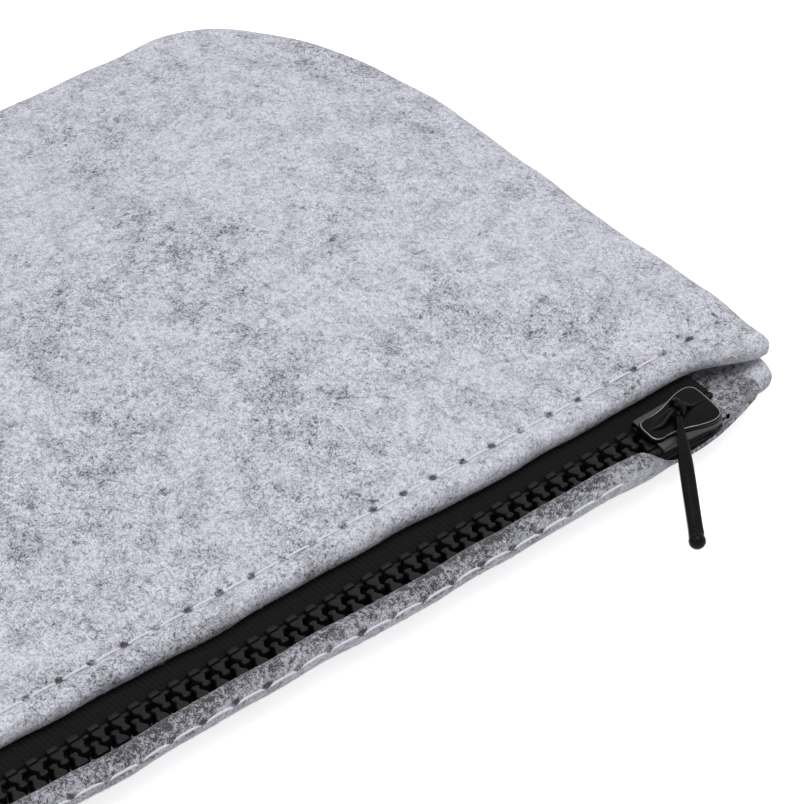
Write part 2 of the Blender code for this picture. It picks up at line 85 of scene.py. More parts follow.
# Places that the frame gives, in millimetres
UPPER_LOW, UPPER_HIGH = cad_box("upper_felt_panel")
UPPER_ROW_LOW, UPPER_ROW_HIGH = cad_box("upper_teeth")
LOWER_ROW_LOW, LOWER_ROW_HIGH = cad_box("lower_teeth")
UPPER_TAPE_LOW, UPPER_TAPE_HIGH = cad_box("upper_zip_tape")
LOWER_TAPE_LOW, LOWER_TAPE_HIGH = cad_box("lower_zip_tape")
SLIDER_LOW, SLIDER_HIGH = cad_box("slider_body")
SEAM_LOW, SEAM_HIGH = cad_box("seam_thread")
PIVOT = joint_place("pull_swing")
SIDE_X, REAR_Y, LIP_Y = UPPER_HIGH[0], UPPER_HIGH[1], UPPER_LOW[1]
FRONT_Y = -REAR_Y
SLIDER_X = (SLIDER_LOW[0] + SLIDER_HIGH[0]) / 2
ZIP_Y, ZIP_Z = PIVOT[1], (UPPER_ROW_LOW[2] + UPPER_ROW_HIGH[2]) / 2
HEM_TOP = UPPER_LOW[2] + 3.4
SEAM_Z = (SEAM_LOW[2] + SEAM_HIGH[2]) / 2
RIM_Z = SEAM_Z - 0.15
MID_Y = (LIP_Y + REAR_Y) / 2
HALF_Y = (REAR_Y - LIP_Y) / 2
REAR_CORNER = (20.0, 33.0)
FRONT_CORNER = (19.0, 8.2)

# Sizes that the soft pieces share, in millimetres
PLAN_STEP = 0.8                       # between points round a panel
EDGE_INSET = 1.7                      # from a panel's outline to where its rolled edge ends
STITCH_INSET = 2.8                    # from the hem's front to its stitches
UPPER_STITCH_Y = LIP_Y + STITCH_INSET
TUCK = math.radians(65)               # how far a rolled edge turns in to the seam
TUCK_HEIGHT = 1 + math.sin(TUCK)      # height of a rolled edge, in radii


def smooth(value):
    """Smooth step from 0 to 1."""
    value = np.clip(value, 0.0, 1.0)
    return value * value * (3.0 - 2.0 * value)


def length_setting(name, description, default, low=0.0):
    """A length in millimetres, kept in metres."""
    return FloatProperty(
        name=name, description=description, default=default * MM, min=low, unit="LENGTH"
    )


def colour_setting(name, description, default):
    """A linear colour."""
    return FloatVectorProperty(
        name=name, description=description, default=default, subtype="COLOR", size=3, min=0.0,
        max=1.0,
    )


class FeltSettings(bpy.types.PropertyGroup):
    """Sizes and colours of the felt."""

    thickness: length_setting("Thickness", "Thickness of the felt", 2.2, 0.0005)
    crown: length_setting("Crown", "Rise of the upper panel above its edge", 5.6)
    groove: length_setting(
        "Stitch Groove", "Depth that the stitches pull the felt in", 0.42
    )
    fuzz: FloatProperty(
        name="Fuzz", description="Loose fibres on each square metre of felt", default=9.0e5,
        min=0.0,
    )
    hairs: FloatProperty(
        name="Dark Hairs", description="Dark hairs on each square metre of felt", default=7.0e4,
        min=0.0,
    )
    light: colour_setting(
        "Light Fibre", "Colour of the pale fibres", (0.78, 0.78, 0.885)
    )
    dark: colour_setting(
        "Dark Fibre", "Colour of the dark fibres", (0.06, 0.06, 0.066)
    )


class ThreadSettings(bpy.types.PropertyGroup):
    """Sizes and colours of the sewing."""

    pitch: length_setting(
        "Stitch Length", "Distance from one needle hole to the next", 4.1, 0.001
    )
    diameter: length_setting("Thread", "Diameter of the thread", 0.32, 0.0001)
    colour: colour_setting("Thread Colour", "Colour of the thread", (0.70, 0.70, 0.75))


class ZipSettings(bpy.types.PropertyGroup):
    """Sizes and colours of the zip chain and tapes."""

    pitch: length_setting(
        "Tooth Pitch", "Distance between the teeth of a row", 2.54, 0.001
    )
    rib: length_setting(
        "Tape Rib", "Distance between the ribs of a tape", 0.62, 0.0002
    )
    teeth: colour_setting(
        "Tooth Colour", "Colour of the moulded teeth", (0.006, 0.006, 0.0065)
    )
    tape: colour_setting(
        "Tape Colour", "Colour of the woven tapes", (0.011, 0.0115, 0.012)
    )


class SliderSettings(bpy.types.PropertyGroup):
    """Sizes and colour of the slider and its pull."""

    roll: FloatProperty(
        name="Roll", description="Lean of the slider towards the front lip",
        default=math.radians(8.0), unit="ROTATION",
    )
    tab: length_setting("Tab Width", "Width of the pull tab's bar", 1.65, 0.0005)
    colour: colour_setting("Enamel", "Colour of the enamel", (0.004, 0.004, 0.0045))


class StageSettings(bpy.types.PropertyGroup):
    """Floor, lamps and camera."""

    floor: colour_setting("Floor", "Colour of the floor", (0.7, 0.7, 0.7))
    key: FloatProperty(
        name="Key Lamp", description="Power of the soft lamp above the case", default=2.0,
        min=0.0, unit="POWER",
    )
    sky: FloatProperty(
        name="Sky", description="Strength of the even light from all round", default=0.5,
        min=0.0,
    )
    lens: FloatProperty(
        name="Lens", description="Focal length of the camera in millimetres", default=193.9,
        min=10.0,
    )


def new_mesh(name, verts, faces):
    """A smooth mesh from points in millimetres, its faces turned outwards."""
    mesh = bpy.data.meshes.new(name)
    mesh.from_pydata((np.asarray(verts, float) * MM).tolist(), [], faces)
    work = bmesh.new()
    work.from_mesh(mesh)
    bmesh.ops.recalc_face_normals(work, faces=work.faces)
    for face in work.faces:
        face.smooth = True
    work.to_mesh(mesh)
    work.free()
    return mesh


def add_piece(name, mesh, material=None):
    """A mesh as an object at the origin, with its one material."""
    if material is not None:
        mesh.materials.clear()
        mesh.materials.append(material)
    piece = bpy.data.objects.new(name, mesh)
    bpy.context.scene.collection.objects.link(piece)
    return piece


def grid_faces(count, around, start=0):
    """Quads between rings that close on themselves."""
    faces = []
    for k in range(count - 1):
        low, high = start + k * around, start + (k + 1) * around
        for i in range(around):
            j = (i + 1) % around
            faces.append((low + i, low + j, high + j, high + i))
    return faces


def ring_shell(rings, poles=True):
    """Points and faces of a closed skin through rings, each end drawn to a point or filled."""
    rings = [np.asarray(ring, float) for ring in rings]
    around = len(rings[0])
    verts = np.concatenate(rings)
    faces = grid_faces(len(rings), around)
    last = (len(rings) - 1) * around
    if poles:
        verts = np.concatenate([verts, [rings[0].mean(0)], [rings[-1].mean(0)]])
        first_pole, last_pole = len(verts) - 2, len(verts) - 1
        for i in range(around):
            j = (i + 1) % around
            faces.append((j, i, first_pole))
            faces.append((last + i, last + j, last_pole))
    else:
        faces.append(tuple(reversed(range(around))))
        faces.append(tuple(last + i for i in range(around)))
    return verts, faces


def spline(points, count):
    """Evenly spaced points on a smooth curve through some points."""
    points = np.asarray(points, float)
    padded = np.concatenate([[2 * points[0] - points[1]], points, [2 * points[-1] - points[-2]]])
    fine = []
    for a, b, c, d in zip(padded, padded[1:], padded[2:], padded[3:]):
        for t in np.arange(8) / 8:
            fine.append(
                0.5 * (2 * b + (c - a) * t + (2 * a - 5 * b + 4 * c - d) * t ** 2
                       + (3 * b - a - 3 * c + d) * t ** 3)
            )
    fine = np.array(fine + [points[-1]])
    reach = np.concatenate([[0], np.cumsum(np.linalg.norm(np.diff(fine, axis=0), axis=1))])
    at = np.linspace(0, reach[-1], count)
    return np.stack([np.interp(at, reach, fine[:, k]) for k in range(fine.shape[1])], 1)


def tube(path, radius, sides=8, taper=0.35):
    """Points and faces of a round thread along a path, with drawn-in ends."""
    path = np.asarray(path, float)
    tangent = np.gradient(path, axis=0)
    tangent /= np.linalg.norm(tangent, axis=1)[:, None]
    side = np.cross(tangent, (0.0, 0.0, 1.0))
    side /= np.linalg.norm(side, axis=1)[:, None]
    rise = np.cross(side, tangent)
    turn = np.arange(sides) / sides * 2 * math.pi
    sizes = np.full(len(path), radius)
    sizes[[0, -1]] *= taper
    rings = [
        point + size * (np.cos(turn)[:, None] * s + np.sin(turn)[:, None] * r)
        for point, size, s, r in zip(path, sizes, side, rise)
    ]
    return ring_shell(rings)


def join_shapes(*shapes):
    """One list of points and faces from several."""
    verts, faces, start = [], [], 0
    for points, polygons in shapes:
        verts.append(np.asarray(points, float))
        faces += [tuple(start + i for i in polygon) for polygon in polygons]
        start += len(points)
    return np.concatenate(verts), faces


def at_height(flat, height):
    """Points of a plan with a height for each, or one height for all."""
    return np.column_stack([flat, np.broadcast_to(height, len(flat))])


def round_loop(count, power=1.0):
    """Points on a circle, squared off where the power is below 1."""
    turn = np.arange(count) / count * 2 * math.pi
    loop = np.stack([np.cos(turn), np.sin(turn)], 1)
    return np.sign(loop) * np.abs(loop) ** power


def joined_mesh(name, *meshes):
    """One mesh from several, in their order."""
    work = bmesh.new()
    for mesh in meshes:
        work.from_mesh(mesh)
    joined = bpy.data.meshes.new(name)
    work.to_mesh(joined)
    work.free()
    return joined


def half_of(mesh, way):
    """The part of a closed mesh on one side of the middle, its cut filled."""
    work = bmesh.new()
    work.from_mesh(mesh)
    parts = work.verts[:] + work.edges[:] + work.faces[:]
    bmesh.ops.bisect_plane(
        work, geom=parts, dist=1e-7, plane_co=(0, 0, 0), plane_no=(way, 0, 0), clear_inner=True
    )
    rim = [edge for edge in work.edges if edge.is_boundary]
    for face in bmesh.ops.edgeloop_fill(work, edges=rim)["faces"]:
        face.smooth = False
    for edge in rim:
        edge.smooth = False
    bmesh.ops.recalc_face_normals(work, faces=work.faces)
    half = bpy.data.meshes.new(mesh.name)
    work.to_mesh(half)
    work.free()
    return half


def bend_with_mouth(piece):
    """Bakes the place of a piece of the upper panel into its mesh."""
    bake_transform(piece)


def panel_plan(front_y, corner_x, corner_y, step):
    """Plan of a felt panel, evenly spaced, with its outward normals."""
    rear_x, rear_y = REAR_CORNER
    corners = (
        (SIDE_X - corner_x, front_y + corner_y, corner_x, corner_y, -90),
        (SIDE_X - rear_x, REAR_Y - rear_y, rear_x, rear_y, 0),
        (-SIDE_X + rear_x, REAR_Y - rear_y, rear_x, rear_y, 90),
        (-SIDE_X + corner_x, front_y + corner_y, corner_x, corner_y, 180),
    )
    path = []
    for x, y, wide, deep, start in corners:
        turn = np.radians(start + np.linspace(0, 90, 120))
        path.append(np.stack([x + wide * np.cos(turn), y + deep * np.sin(turn)], 1))
    path = np.concatenate(path + [path[0][:1]])
    reach = np.concatenate([[0], np.cumsum(np.linalg.norm(np.diff(path, axis=0), axis=1))])
    count = int(reach[-1] / step)
    at = np.arange(count) / count * reach[-1]
    points = np.stack([np.interp(at, reach, path[:, k]) for k in (0, 1)], 1)
    tangent = np.roll(points, -1, 0) - np.roll(points, 1, 0)
    tangent /= np.linalg.norm(tangent, axis=1)[:, None]
    return points, np.stack([tangent[:, 1], -tangent[:, 0]], 1)


def edge_wave(count, size):
    """Small unevenness along a soft edge, closed round the case."""
    at = np.arange(count) / count * 2 * math.pi
    return size * (
        0.5 * np.sin(13 * at + 0.7) + 0.3 * np.sin(29 * at + 2.1) + 0.2 * np.sin(53 * at + 4.0)
    )


def swell(x, y):
    """Gentle rise and fall of the felt that no mould holds flat."""
    return (
        0.30 * np.sin(x / 15.0 + y / 23.0 + 0.4)
        + 0.22 * np.sin(x / 9.0 - y / 13.0 + 1.9)
        + 0.12 * np.sin(x / 5.5 + y / 7.0 + 3.1)
    )


def crown_height(x, y, share, rise, groove):
    """Top of the upper panel above its edge; share is how far in a ring is."""
    across = np.cos(math.pi / 2 * np.clip(np.abs(x) / SIDE_X, 0, 1) ** 1.6)
    along = np.cos(math.pi / 2 * np.clip(np.abs(y - MID_Y) / HALF_Y, 0, 1)) ** 1.3
    height = rise * across * along * smooth(share / 0.10)
    height = height + swell(x, y) * smooth(share / 0.22)
    line = smooth((SIDE_X - 4.0 - np.abs(x)) / 4.0)
    off = y - UPPER_STITCH_Y
    groove_width, ridge, ridge_off, ridge_width = 0.62, 0.12, 3.0, 2.2
    height = height - groove * line * np.exp(-((off / groove_width) ** 2))
    return height + ridge * line * np.exp(-(((off - ridge_off) / ridge_width) ** 2))


def upper_felt_rings(felt):
    """Rings of the upper panel: outer skin from its middle out, hem, then the inner skin."""
    thick, rise, groove = felt.thickness / MM, felt.crown / MM, felt.groove / MM
    plan, normals = panel_plan(LIP_Y - 0.2, 1.5, 1.5, PLAN_STEP)
    ends = smooth((np.abs(plan[:, 0]) - 86.0) / 9.0) * smooth((LIP_Y + 16.0 - plan[:, 1]) / 15.0)
    front = 1 - smooth((plan[:, 1] - LIP_Y - 0.5) / 8.0)
    side_fuller, waviness, corner_outward, corner_forward = 0.5, 0.32, 0.55, 3.0
    fuller = side_fuller * (1 - front) + edge_wave(len(plan), waviness)
    plan = plan + normals * fuller[:, None]
    plan[:, 0] += corner_outward * np.sign(plan[:, 0]) * ends
    plan[:, 1] -= corner_forward * ends
    side_roll, front_roll, cad_roll = 2.3, 1.43, 1.784
    roll = side_roll + (front_roll - side_roll) * front
    puff = (roll - cad_roll) * TUCK_HEIGHT * (1 - front)
    middle = np.array([0.0, MID_Y])
    edge = np.full(len(plan), EDGE_INSET)

    def ring(inset, height):
        return at_height(plan - normals * inset[:, None], height)

    def ring_share(inset):
        return (inset - EDGE_INSET) / (HALF_Y - EDGE_INSET)

    def inward(inset, share, drop, pull):
        flat = plan - normals * inset[:, None]
        flat = middle + (flat - middle) * (1 - share)
        height = crown_height(flat[:, 0], flat[:, 1], share, rise, pull)
        height = height + puff * (1 - smooth(share / 0.6))
        return at_height(flat, HEM_TOP + height - drop)

    insets = (1.7, 2.05, 2.3, 2.5, 2.65, 2.8, 2.95, 3.15, 3.4, 3.8, 4.4, 5.3, 6.5, 8, 10, 12.5,
              15.5, 19, 23, 27, 31, 35, 38.5, 41)
    outer = [inward(roll, ring_share(inset), 0.0, groove) for inset in reversed(insets)]
    for turn in np.radians(np.linspace(72, -65, 9)):
        outer.append(
            ring(roll * (1 - math.cos(turn)), HEM_TOP + puff - roll + roll * math.sin(turn))
        )
    base = HEM_TOP + puff - roll * TUCK_HEIGHT
    inner = [ring(edge, base + 0.12), ring(edge + 0.6, base + 0.5)]
    for inset in (3.2, 4.4, 6.5, 10, 15.5, 23, 31, 38.5):
        inner.append(inward(edge, ring_share(inset), thick, 0.0))
    return outer, inner


# Front edge of the lower panel from the table round its lip to its inner floor: beside the
# closed teeth, and where the slider presses it down
FULL_LIP = (
    (-42.5, 0.0), (-44.2, 0.25), (-45.9, 1.35), (-47.2, 2.75), (-48.35, 4.15), (-48.9, 5.3),
    (-48.7, 6.4), (-47.95, 7.2), (-47.1, 7.25), (-46.6, 6.75), (-46.48, 5.8), (-46.5, 4.6),
    (-46.55, 3.4), (-46.2, 2.6), (-45.0, 2.2),
)
PRESSED_LIP = (
    (-42.2, 0.0), (-43.7, 0.2), (-44.85, 0.95), (-45.75, 1.95), (-46.6, 2.9), (-47.1, 3.4),
    (-47.15, 3.6), (-47.0, 3.72), (-46.8, 3.65), (-46.6, 3.4), (-46.4, 3.1), (-46.2, 2.8),
    (-45.9, 2.5), (-45.5, 2.3), (-45.0, 2.2),
)
LIP_STEPS = 30
LIP_END, LIP_RAMP = 76.5, 6.0         # where the lip is pressed flat, and the run up from there

# Ring of the lower panel that carries its stitch line, and where that lies beside the teeth
LOWER_STITCH_RING = 15
LOWER_STITCH = (-48.55, 5.95)


def lip_share(x):
    """1 beside the closed teeth, 0 where the slider stands at either end of its run."""
    return smooth((LIP_END - np.abs(x)) / LIP_RAMP)


def lower_felt_rings():
    """Rings of the lower panel: underside, rolled edge, lip, then the inner floor."""
    plan, normals = panel_plan(FRONT_Y, *FRONT_CORNER, PLAN_STEP)
    front = smooth((-normals[:, 1] - 0.55) / 0.4)
    corner = smooth((np.abs(plan[:, 0]) - 88.0) / 6.0) * smooth((LIP_Y + 22.0 - plan[:, 1]) / 20.0)
    waviness, corner_outward, corner_rise, end_inward = 0.3, 0.8, 0.12, 0.55
    wave = edge_wave(len(plan), waviness) + corner_outward * corner
    roll = RIM_Z / TUCK_HEIGHT
    side = [
        (roll * (1 - math.cos(turn)), roll * (1 + math.sin(turn)))
        for turn in np.radians(np.linspace(-90, 65, 10))
    ]
    side += [(EDGE_INSET, RIM_Z - 0.1), (2.6, 3.2), (4.0, 2.8), (6.0, 2.4), (8.5, 2.2)]
    side = spline(side, LIP_STEPS)
    full = spline(FULL_LIP, LIP_STEPS) - (FRONT_Y, 0.0)
    pressed = spline(PRESSED_LIP, LIP_STEPS) - (FRONT_Y, 0.0)
    lip = lip_share(plan[:, 0])
    ends = smooth((np.abs(plan[:, 0]) + 20) / 95) * end_inward
    rings = []
    for k in range(LIP_STEPS):
        standing = full[k] + (pressed[k] - full[k]) * (1 - lip)[:, None]
        standing[:, 0] += ends * lip
        profile = side[k] + (standing - side[k]) * front[:, None]
        lifted = smooth(profile[:, 1] / 2.0)
        profile[:, 1] *= 1 + corner_rise * corner * lifted
        flat = plan - normals * (profile[:, 0] - wave * lifted)[:, None]
        rings.append(np.concatenate([flat, profile[:, 1:]], 1))
    under = [rings[0] * (share, share, 1) for share in (0.3, 0.65, 0.9)]
    floor = [rings[-1] * (share, share, 1) for share in (0.94, 0.8, 0.55, 0.25)]
    return under, rings, floor


def node_group(kind, name, inputs, outputs):
    """A node tree with sockets as (name, kind, value); returns it, its input and its output."""
    tree = bpy.data.node_groups.new(name, kind)
    for label, socket, value in inputs:
        item = tree.interface.new_socket(label, in_out="INPUT", socket_type="NodeSocket" + socket)
        if value is not None:
            item.default_value = value
    for label, socket in outputs:
        tree.interface.new_socket(label, in_out="OUTPUT", socket_type="NodeSocket" + socket)
    return tree, tree.nodes.new("NodeGroupInput"), tree.nodes.new("NodeGroupOutput")


def add_node(tree, kind, links=None, **settings):
    """A node with its settings, and its inputs linked to sockets or set to values."""
    node = tree.nodes.new(kind)
    for key, value in settings.items():
        setattr(node, key, value)
    for key, value in (links or {}).items():
        if isinstance(value, bpy.types.NodeSocket):
            tree.links.new(value, node.inputs[key])
        else:
            node.inputs[key].default_value = value
    return node


def math_node(tree, operation, a, b=0.0, clamp=False):
    """Output of a Math node."""
    return add_node(
        tree, "ShaderNodeMath", {0: a, 1: b}, operation=operation, use_clamp=clamp
    ).outputs[0]


def span_node(tree, value, low, high, start=0.0, end=1.0):
    """Output of a clamped smooth Map Range node."""
    return add_node(
        tree, "ShaderNodeMapRange", {0: value, 1: low, 2: high, 3: start, 4: end},
        interpolation_type="SMOOTHSTEP",
    ).outputs[0]


def painted_copies(tree, given, result, copies):
    """Ends a node tree: its copies made real and given its material."""
    real = add_node(tree, "GeometryNodeRealizeInstances", {"Geometry": copies.outputs[0]})
    painted = add_node(
        tree, "GeometryNodeSetMaterial",
        {"Geometry": real.outputs[0], "Material": given.outputs["Material"]},
    )
    tree.links.new(painted.outputs[0], result.inputs[0])
    return tree


def row_tree():
    """Node tree that sets copies of one shape in a straight row."""
    tree, given, result = node_group(
        "GeometryNodeTree", "Row of Shapes",
        (("Geometry", "Geometry", None), ("Shape", "Object", None),
         ("Count", "Int", 10), ("Start", "Vector", None),
         ("Step", "Vector", None), ("Material", "Material", None)),
        (("Geometry", "Geometry"),),
    )
    line = add_node(
        tree, "GeometryNodeMeshLine",
        {"Count": given.outputs["Count"], "Start Location": given.outputs["Start"],
         "Offset": given.outputs["Step"]}, mode="OFFSET",
    )
    shape = add_node(tree, "GeometryNodeObjectInfo", {"Object": given.outputs["Shape"]})
    copies = add_node(
        tree, "GeometryNodeInstanceOnPoints",
        {"Points": line.outputs["Mesh"], "Instance": shape.outputs["Geometry"]},
    )
    return painted_copies(tree, given, result, copies)


def stitch_tree():
    """Node tree that lays one stitch after another along a path."""
    tree, given, result = node_group(
        "GeometryNodeTree", "Stitches on a Path",
        (("Geometry", "Geometry", None), ("Stitch", "Object", None),
         ("Pitch", "Float", 0.004), ("Material", "Material", None)),
        (("Geometry", "Geometry"),),
    )
    path = add_node(tree, "GeometryNodeMeshToCurve", {"Mesh": given.outputs["Geometry"]})
    steps = add_node(
        tree, "GeometryNodeResampleCurve",
        {"Curve": path.outputs[0], "Length": given.outputs["Pitch"]}, mode="LENGTH",
    )
    points = add_node(
        tree, "GeometryNodeCurveToPoints", {"Curve": steps.outputs[0]}, mode="EVALUATED"
    )
    turn = add_node(
        tree, "FunctionNodeAlignRotationToVector", {"Vector": points.outputs["Tangent"]},
        axis="X", pivot_axis="Z",
    )
    stitch = add_node(tree, "GeometryNodeObjectInfo", {"Object": given.outputs["Stitch"]})
    copies = add_node(
        tree, "GeometryNodeInstanceOnPoints",
        {"Points": points.outputs["Points"], "Instance": stitch.outputs["Geometry"],
         "Rotation": turn.outputs[0]},
    )
    return painted_copies(tree, given, result, copies)


def fibre_tree():
    """Node tree that scatters loose fibres, lying almost flat, over a felt skin."""
    tree, given, result = node_group(
        "GeometryNodeTree", "Loose Fibres",
        (("Geometry", "Geometry", None), ("Fibre", "Object", None),
         ("Density", "Float", 1.0e6), ("Shortest", "Float", 0.6),
         ("Longest", "Float", 1.4), ("Lift", "Float", 0.25),
         ("Seed", "Int", 1), ("Material", "Material", None)),
        (("Geometry", "Geometry"),),
    )
    points = add_node(
        tree, "GeometryNodeDistributePointsOnFaces",
        {"Mesh": given.outputs["Geometry"], "Density": given.outputs["Density"],
         "Seed": given.outputs["Seed"]}, distribute_method="RANDOM",
    )

    def chance(low, high, seed):
        return add_node(
            tree, "FunctionNodeRandomValue", {"Seed": seed, 2: low, 3: high}, data_type="FLOAT"
        ).outputs[1]

    swing = add_node(tree, "ShaderNodeCombineXYZ", {2: chance(0.0, 2 * math.pi, 11)})
    lean = add_node(
        tree, "ShaderNodeCombineXYZ",
        {1: math_node(tree, "MULTIPLY", chance(-1.0, 0.25, 12), given.outputs["Lift"])},
    )
    spun = add_node(
        tree, "FunctionNodeRotateRotation",
        {0: points.outputs["Rotation"], 1: swing.outputs[0]}, rotation_space="LOCAL",
    )
    tipped = add_node(
        tree, "FunctionNodeRotateRotation", {0: spun.outputs[0], 1: lean.outputs[0]},
        rotation_space="LOCAL",
    )
    fibre = add_node(tree, "GeometryNodeObjectInfo", {"Object": given.outputs["Fibre"]})
    copies = add_node(
        tree, "GeometryNodeInstanceOnPoints",
        {"Points": points.outputs["Points"], "Instance": fibre.outputs["Geometry"],
         "Rotation": tipped.outputs[0],
         "Scale": chance(given.outputs["Shortest"], given.outputs["Longest"], 13)},
    )
    return painted_copies(tree, given, result, copies)


def named_tree(name, maker):
    """A node tree, built the first time that it is wanted."""
    return bpy.data.node_groups.get(name) or maker()


def run_tree(name, tree, mesh, values):
    """A node tree's result on a mesh, as a plain mesh."""
    host = bpy.data.objects.new(name, mesh)
    bpy.context.scene.collection.objects.link(host)
    shapes = [value for value in values.values() if isinstance(value, bpy.types.Object)]
    modifier = host.modifiers.new(name, "NODES")
    modifier.node_group = tree
    names = {
        item.name: item.identifier for item in tree.interface.items_tree if item.in_out == "INPUT"
    }
    for label, value in values.items():
        modifier[names[label]] = value
    made = bpy.data.meshes.new_from_object(
        host.evaluated_get(bpy.context.evaluated_depsgraph_get())
    )
    made.name = name
    for item in [host] + shapes:
        bpy.data.objects.remove(item)
    return made


def felt_group():
    """Shader group of the felt: pale and dark fibres, clouds, hairs, painted shade, needle holes
    darkened as painted shade, and height.
    """
    tree, given, result = node_group(
        "ShaderNodeTree", "Felt Fibres",
        (("Light", "Color", None), ("Dark", "Color", None),
         ("Depth", "Float", 0.0), ("Stitch Line", "Vector", None),
         ("Pitch", "Float", 0.0041)),
        (("Color", "Color"), ("Height", "Float")),
    )
    place = add_node(tree, "ShaderNodeTexCoord").outputs["Object"]

    def noise(vector, scale, detail, rough, output=0):
        return add_node(
            tree, "ShaderNodeTexNoise",
            {"Vector": vector, "Scale": scale, "Detail": detail, "Roughness": rough},
        ).outputs[output]

    shift = add_node(
        tree, "ShaderNodeVectorMath",
        {0: noise(place, 700.0, 2.0, 0.6, "Color"), "Scale": 0.0012}, operation="SCALE",
    ).outputs[0]
    loose = add_node(
        tree, "ShaderNodeVectorMath", {0: place, 1: shift}, operation="ADD"
    ).outputs[0]

    fine = noise(loose, 1700.0, 3.0, 0.62)
    speck = noise(loose, 4700.0, 2.0, 0.7)
    tuft = noise(place, 330.0, 4.0, 0.62)
    cloud = noise(place, 66.0, 3.0, 0.6)
    patch = span_node(tree, cloud, 0.40, 0.66)
    curls = []
    for scale, seat in ((520.0, 0.5), (900.0, 0.47)):
        curl = noise(loose, scale, 1.0, 0.4)
        off = math_node(tree, "ABSOLUTE", math_node(tree, "SUBTRACT", curl, seat))
        curls.append(span_node(tree, off, 0.030, 0.006))
    hair = math_node(
        tree, "MULTIPLY", math_node(tree, "MAXIMUM", curls[0], curls[1]),
        span_node(tree, noise(place, 620.0, 1.0, 0.5), 0.47, 0.58),
    )

    def plus(base, mask, share, clamp=False):
        return math_node(tree, "ADD", base, math_node(tree, "MULTIPLY", mask, share), clamp)

    dark = math_node(tree, "MULTIPLY", span_node(tree, fine, 0.40, 0.68), 0.30)
    dark = plus(dark, span_node(tree, speck, 0.42, 0.62), 0.42)
    dark = plus(dark, hair, 0.24)
    dark = plus(dark, span_node(tree, tuft, 0.42, 0.68), 0.20)
    dark = math_node(tree, "MULTIPLY", dark, plus(0.84, patch, 0.32))
    dark = plus(dark, patch, 0.035)
    # Painted shade that the panel gives, broken up by the fine fibres
    dark = plus(dark, given.outputs["Depth"], plus(0.25, fine, 1.3))

    # Needle holes along the stitch line: a dark spot in each as painted shade, and a dip in the
    # height
    from_line = add_node(
        tree, "ShaderNodeVectorMath", {0: place, 1: given.outputs["Stitch Line"]},
        operation="SUBTRACT",
    ).outputs[0]
    split = add_node(tree, "ShaderNodeSeparateXYZ", {0: from_line})
    along = math_node(tree, "DIVIDE", split.outputs[0], given.outputs["Pitch"])
    along = math_node(tree, "SUBTRACT", math_node(tree, "FRACT", along), 0.5)
    along = math_node(tree, "MULTIPLY", along, given.outputs["Pitch"])
    near = add_node(
        tree, "ShaderNodeCombineXYZ",
        {0: math_node(tree, "MULTIPLY", along, 0.6), 1: split.outputs[1], 2: split.outputs[2]},
    ).outputs[0]
    near = add_node(tree, "ShaderNodeVectorMath", {0: near}, operation="LENGTH").outputs["Value"]
    hole = span_node(tree, near, 0.00052, 0.00016)
    hole = math_node(tree, "MULTIPLY", hole, span_node(tree, tuft, 0.38, 0.54, 0.45, 1.0))
    dark = plus(dark, hole, 0.68, clamp=True)
    colour = add_node(
        tree, "ShaderNodeMix",
        {0: dark, 6: given.outputs["Light"], 7: given.outputs["Dark"]}, data_type="RGBA",
    ).outputs[2]
    height = plus(plus(tuft, fine, 0.5), hole, -0.8)
    tree.links.new(colour, result.inputs["Color"])
    tree.links.new(height, result.inputs["Height"])
    return tree


def grain_group():
    """Shader group of fine uneven grain: a mask about a level, and a height."""
    tree, given, result = node_group(
        "ShaderNodeTree", "Fine Grain",
        (("Scale", "Float", 1000.0), ("Low", "Float", 0.3),
         ("High", "Float", 0.5)),
        (("Value", "Float"), ("Height", "Float")),
    )
    place = add_node(tree, "ShaderNodeTexCoord").outputs["Object"]
    grain = add_node(
        tree, "ShaderNodeTexNoise",
        {"Vector": place, "Scale": given.outputs["Scale"], "Detail": 4.0, "Roughness": 0.6},
    ).outputs[0]
    level = add_node(
        tree, "ShaderNodeMapRange",
        {0: grain, 1: 0.3, 2: 0.7, 3: given.outputs["Low"], 4: given.outputs["High"]},
    ).outputs[0]
    tree.links.new(level, result.inputs["Value"])
    tree.links.new(grain, result.inputs["Height"])
    return tree


def new_material(name, **sockets):
    """A Principled material with constants on its own sockets; returns it, its tree and shader."""
    material = bpy.data.materials.new(name)
    material.use_nodes = True
    shader = material.node_tree.nodes["Principled BSDF"]
    for key, value in sockets.items():
        shader.inputs[key.replace("_", " ")].default_value = value
    return material, material.node_tree, shader


def felt_material(name, felt, thread, line, shade_strength=0.0):
    """Felt finish of one panel; line is a point on its row of needle holes, and the last argument
    scales the shade painted from the panel's attribute.
    """
    material = bpy.data.materials.get(name)
    if material:
        return material
    material, tree, shader = new_material(
        name, Roughness=0.95, Sheen_Weight=0.18, Sheen_Roughness=0.6, Specular_IOR_Level=0.15
    )
    fibres = tree.nodes.new("ShaderNodeGroup")
    fibres.node_tree = named_tree("Felt Fibres", felt_group)
    # Painted shade from the panel's own attribute
    if shade_strength:
        shade = add_node(tree, "ShaderNodeAttribute", attribute_name="painted_shade")
        tree.links.new(
            math_node(tree, "MULTIPLY", shade.outputs["Fac"], shade_strength), fibres.inputs["Depth"]
        )
    for label, value in (
        ("Light", (*felt.light, 1.0)), ("Dark", (*felt.dark, 1.0)),
        ("Stitch Line", Vector(line) * MM), ("Pitch", thread.pitch),
    ):
        fibres.inputs[label].default_value = value
    bump = add_node(
        tree, "ShaderNodeBump",
        {"Height": fibres.outputs["Height"], "Strength": 0.55, "Distance": 0.0006},
    )
    tree.links.new(fibres.outputs["Color"], shader.inputs["Base Color"])
    tree.links.new(bump.outputs[0], shader.inputs["Normal"])
    return material


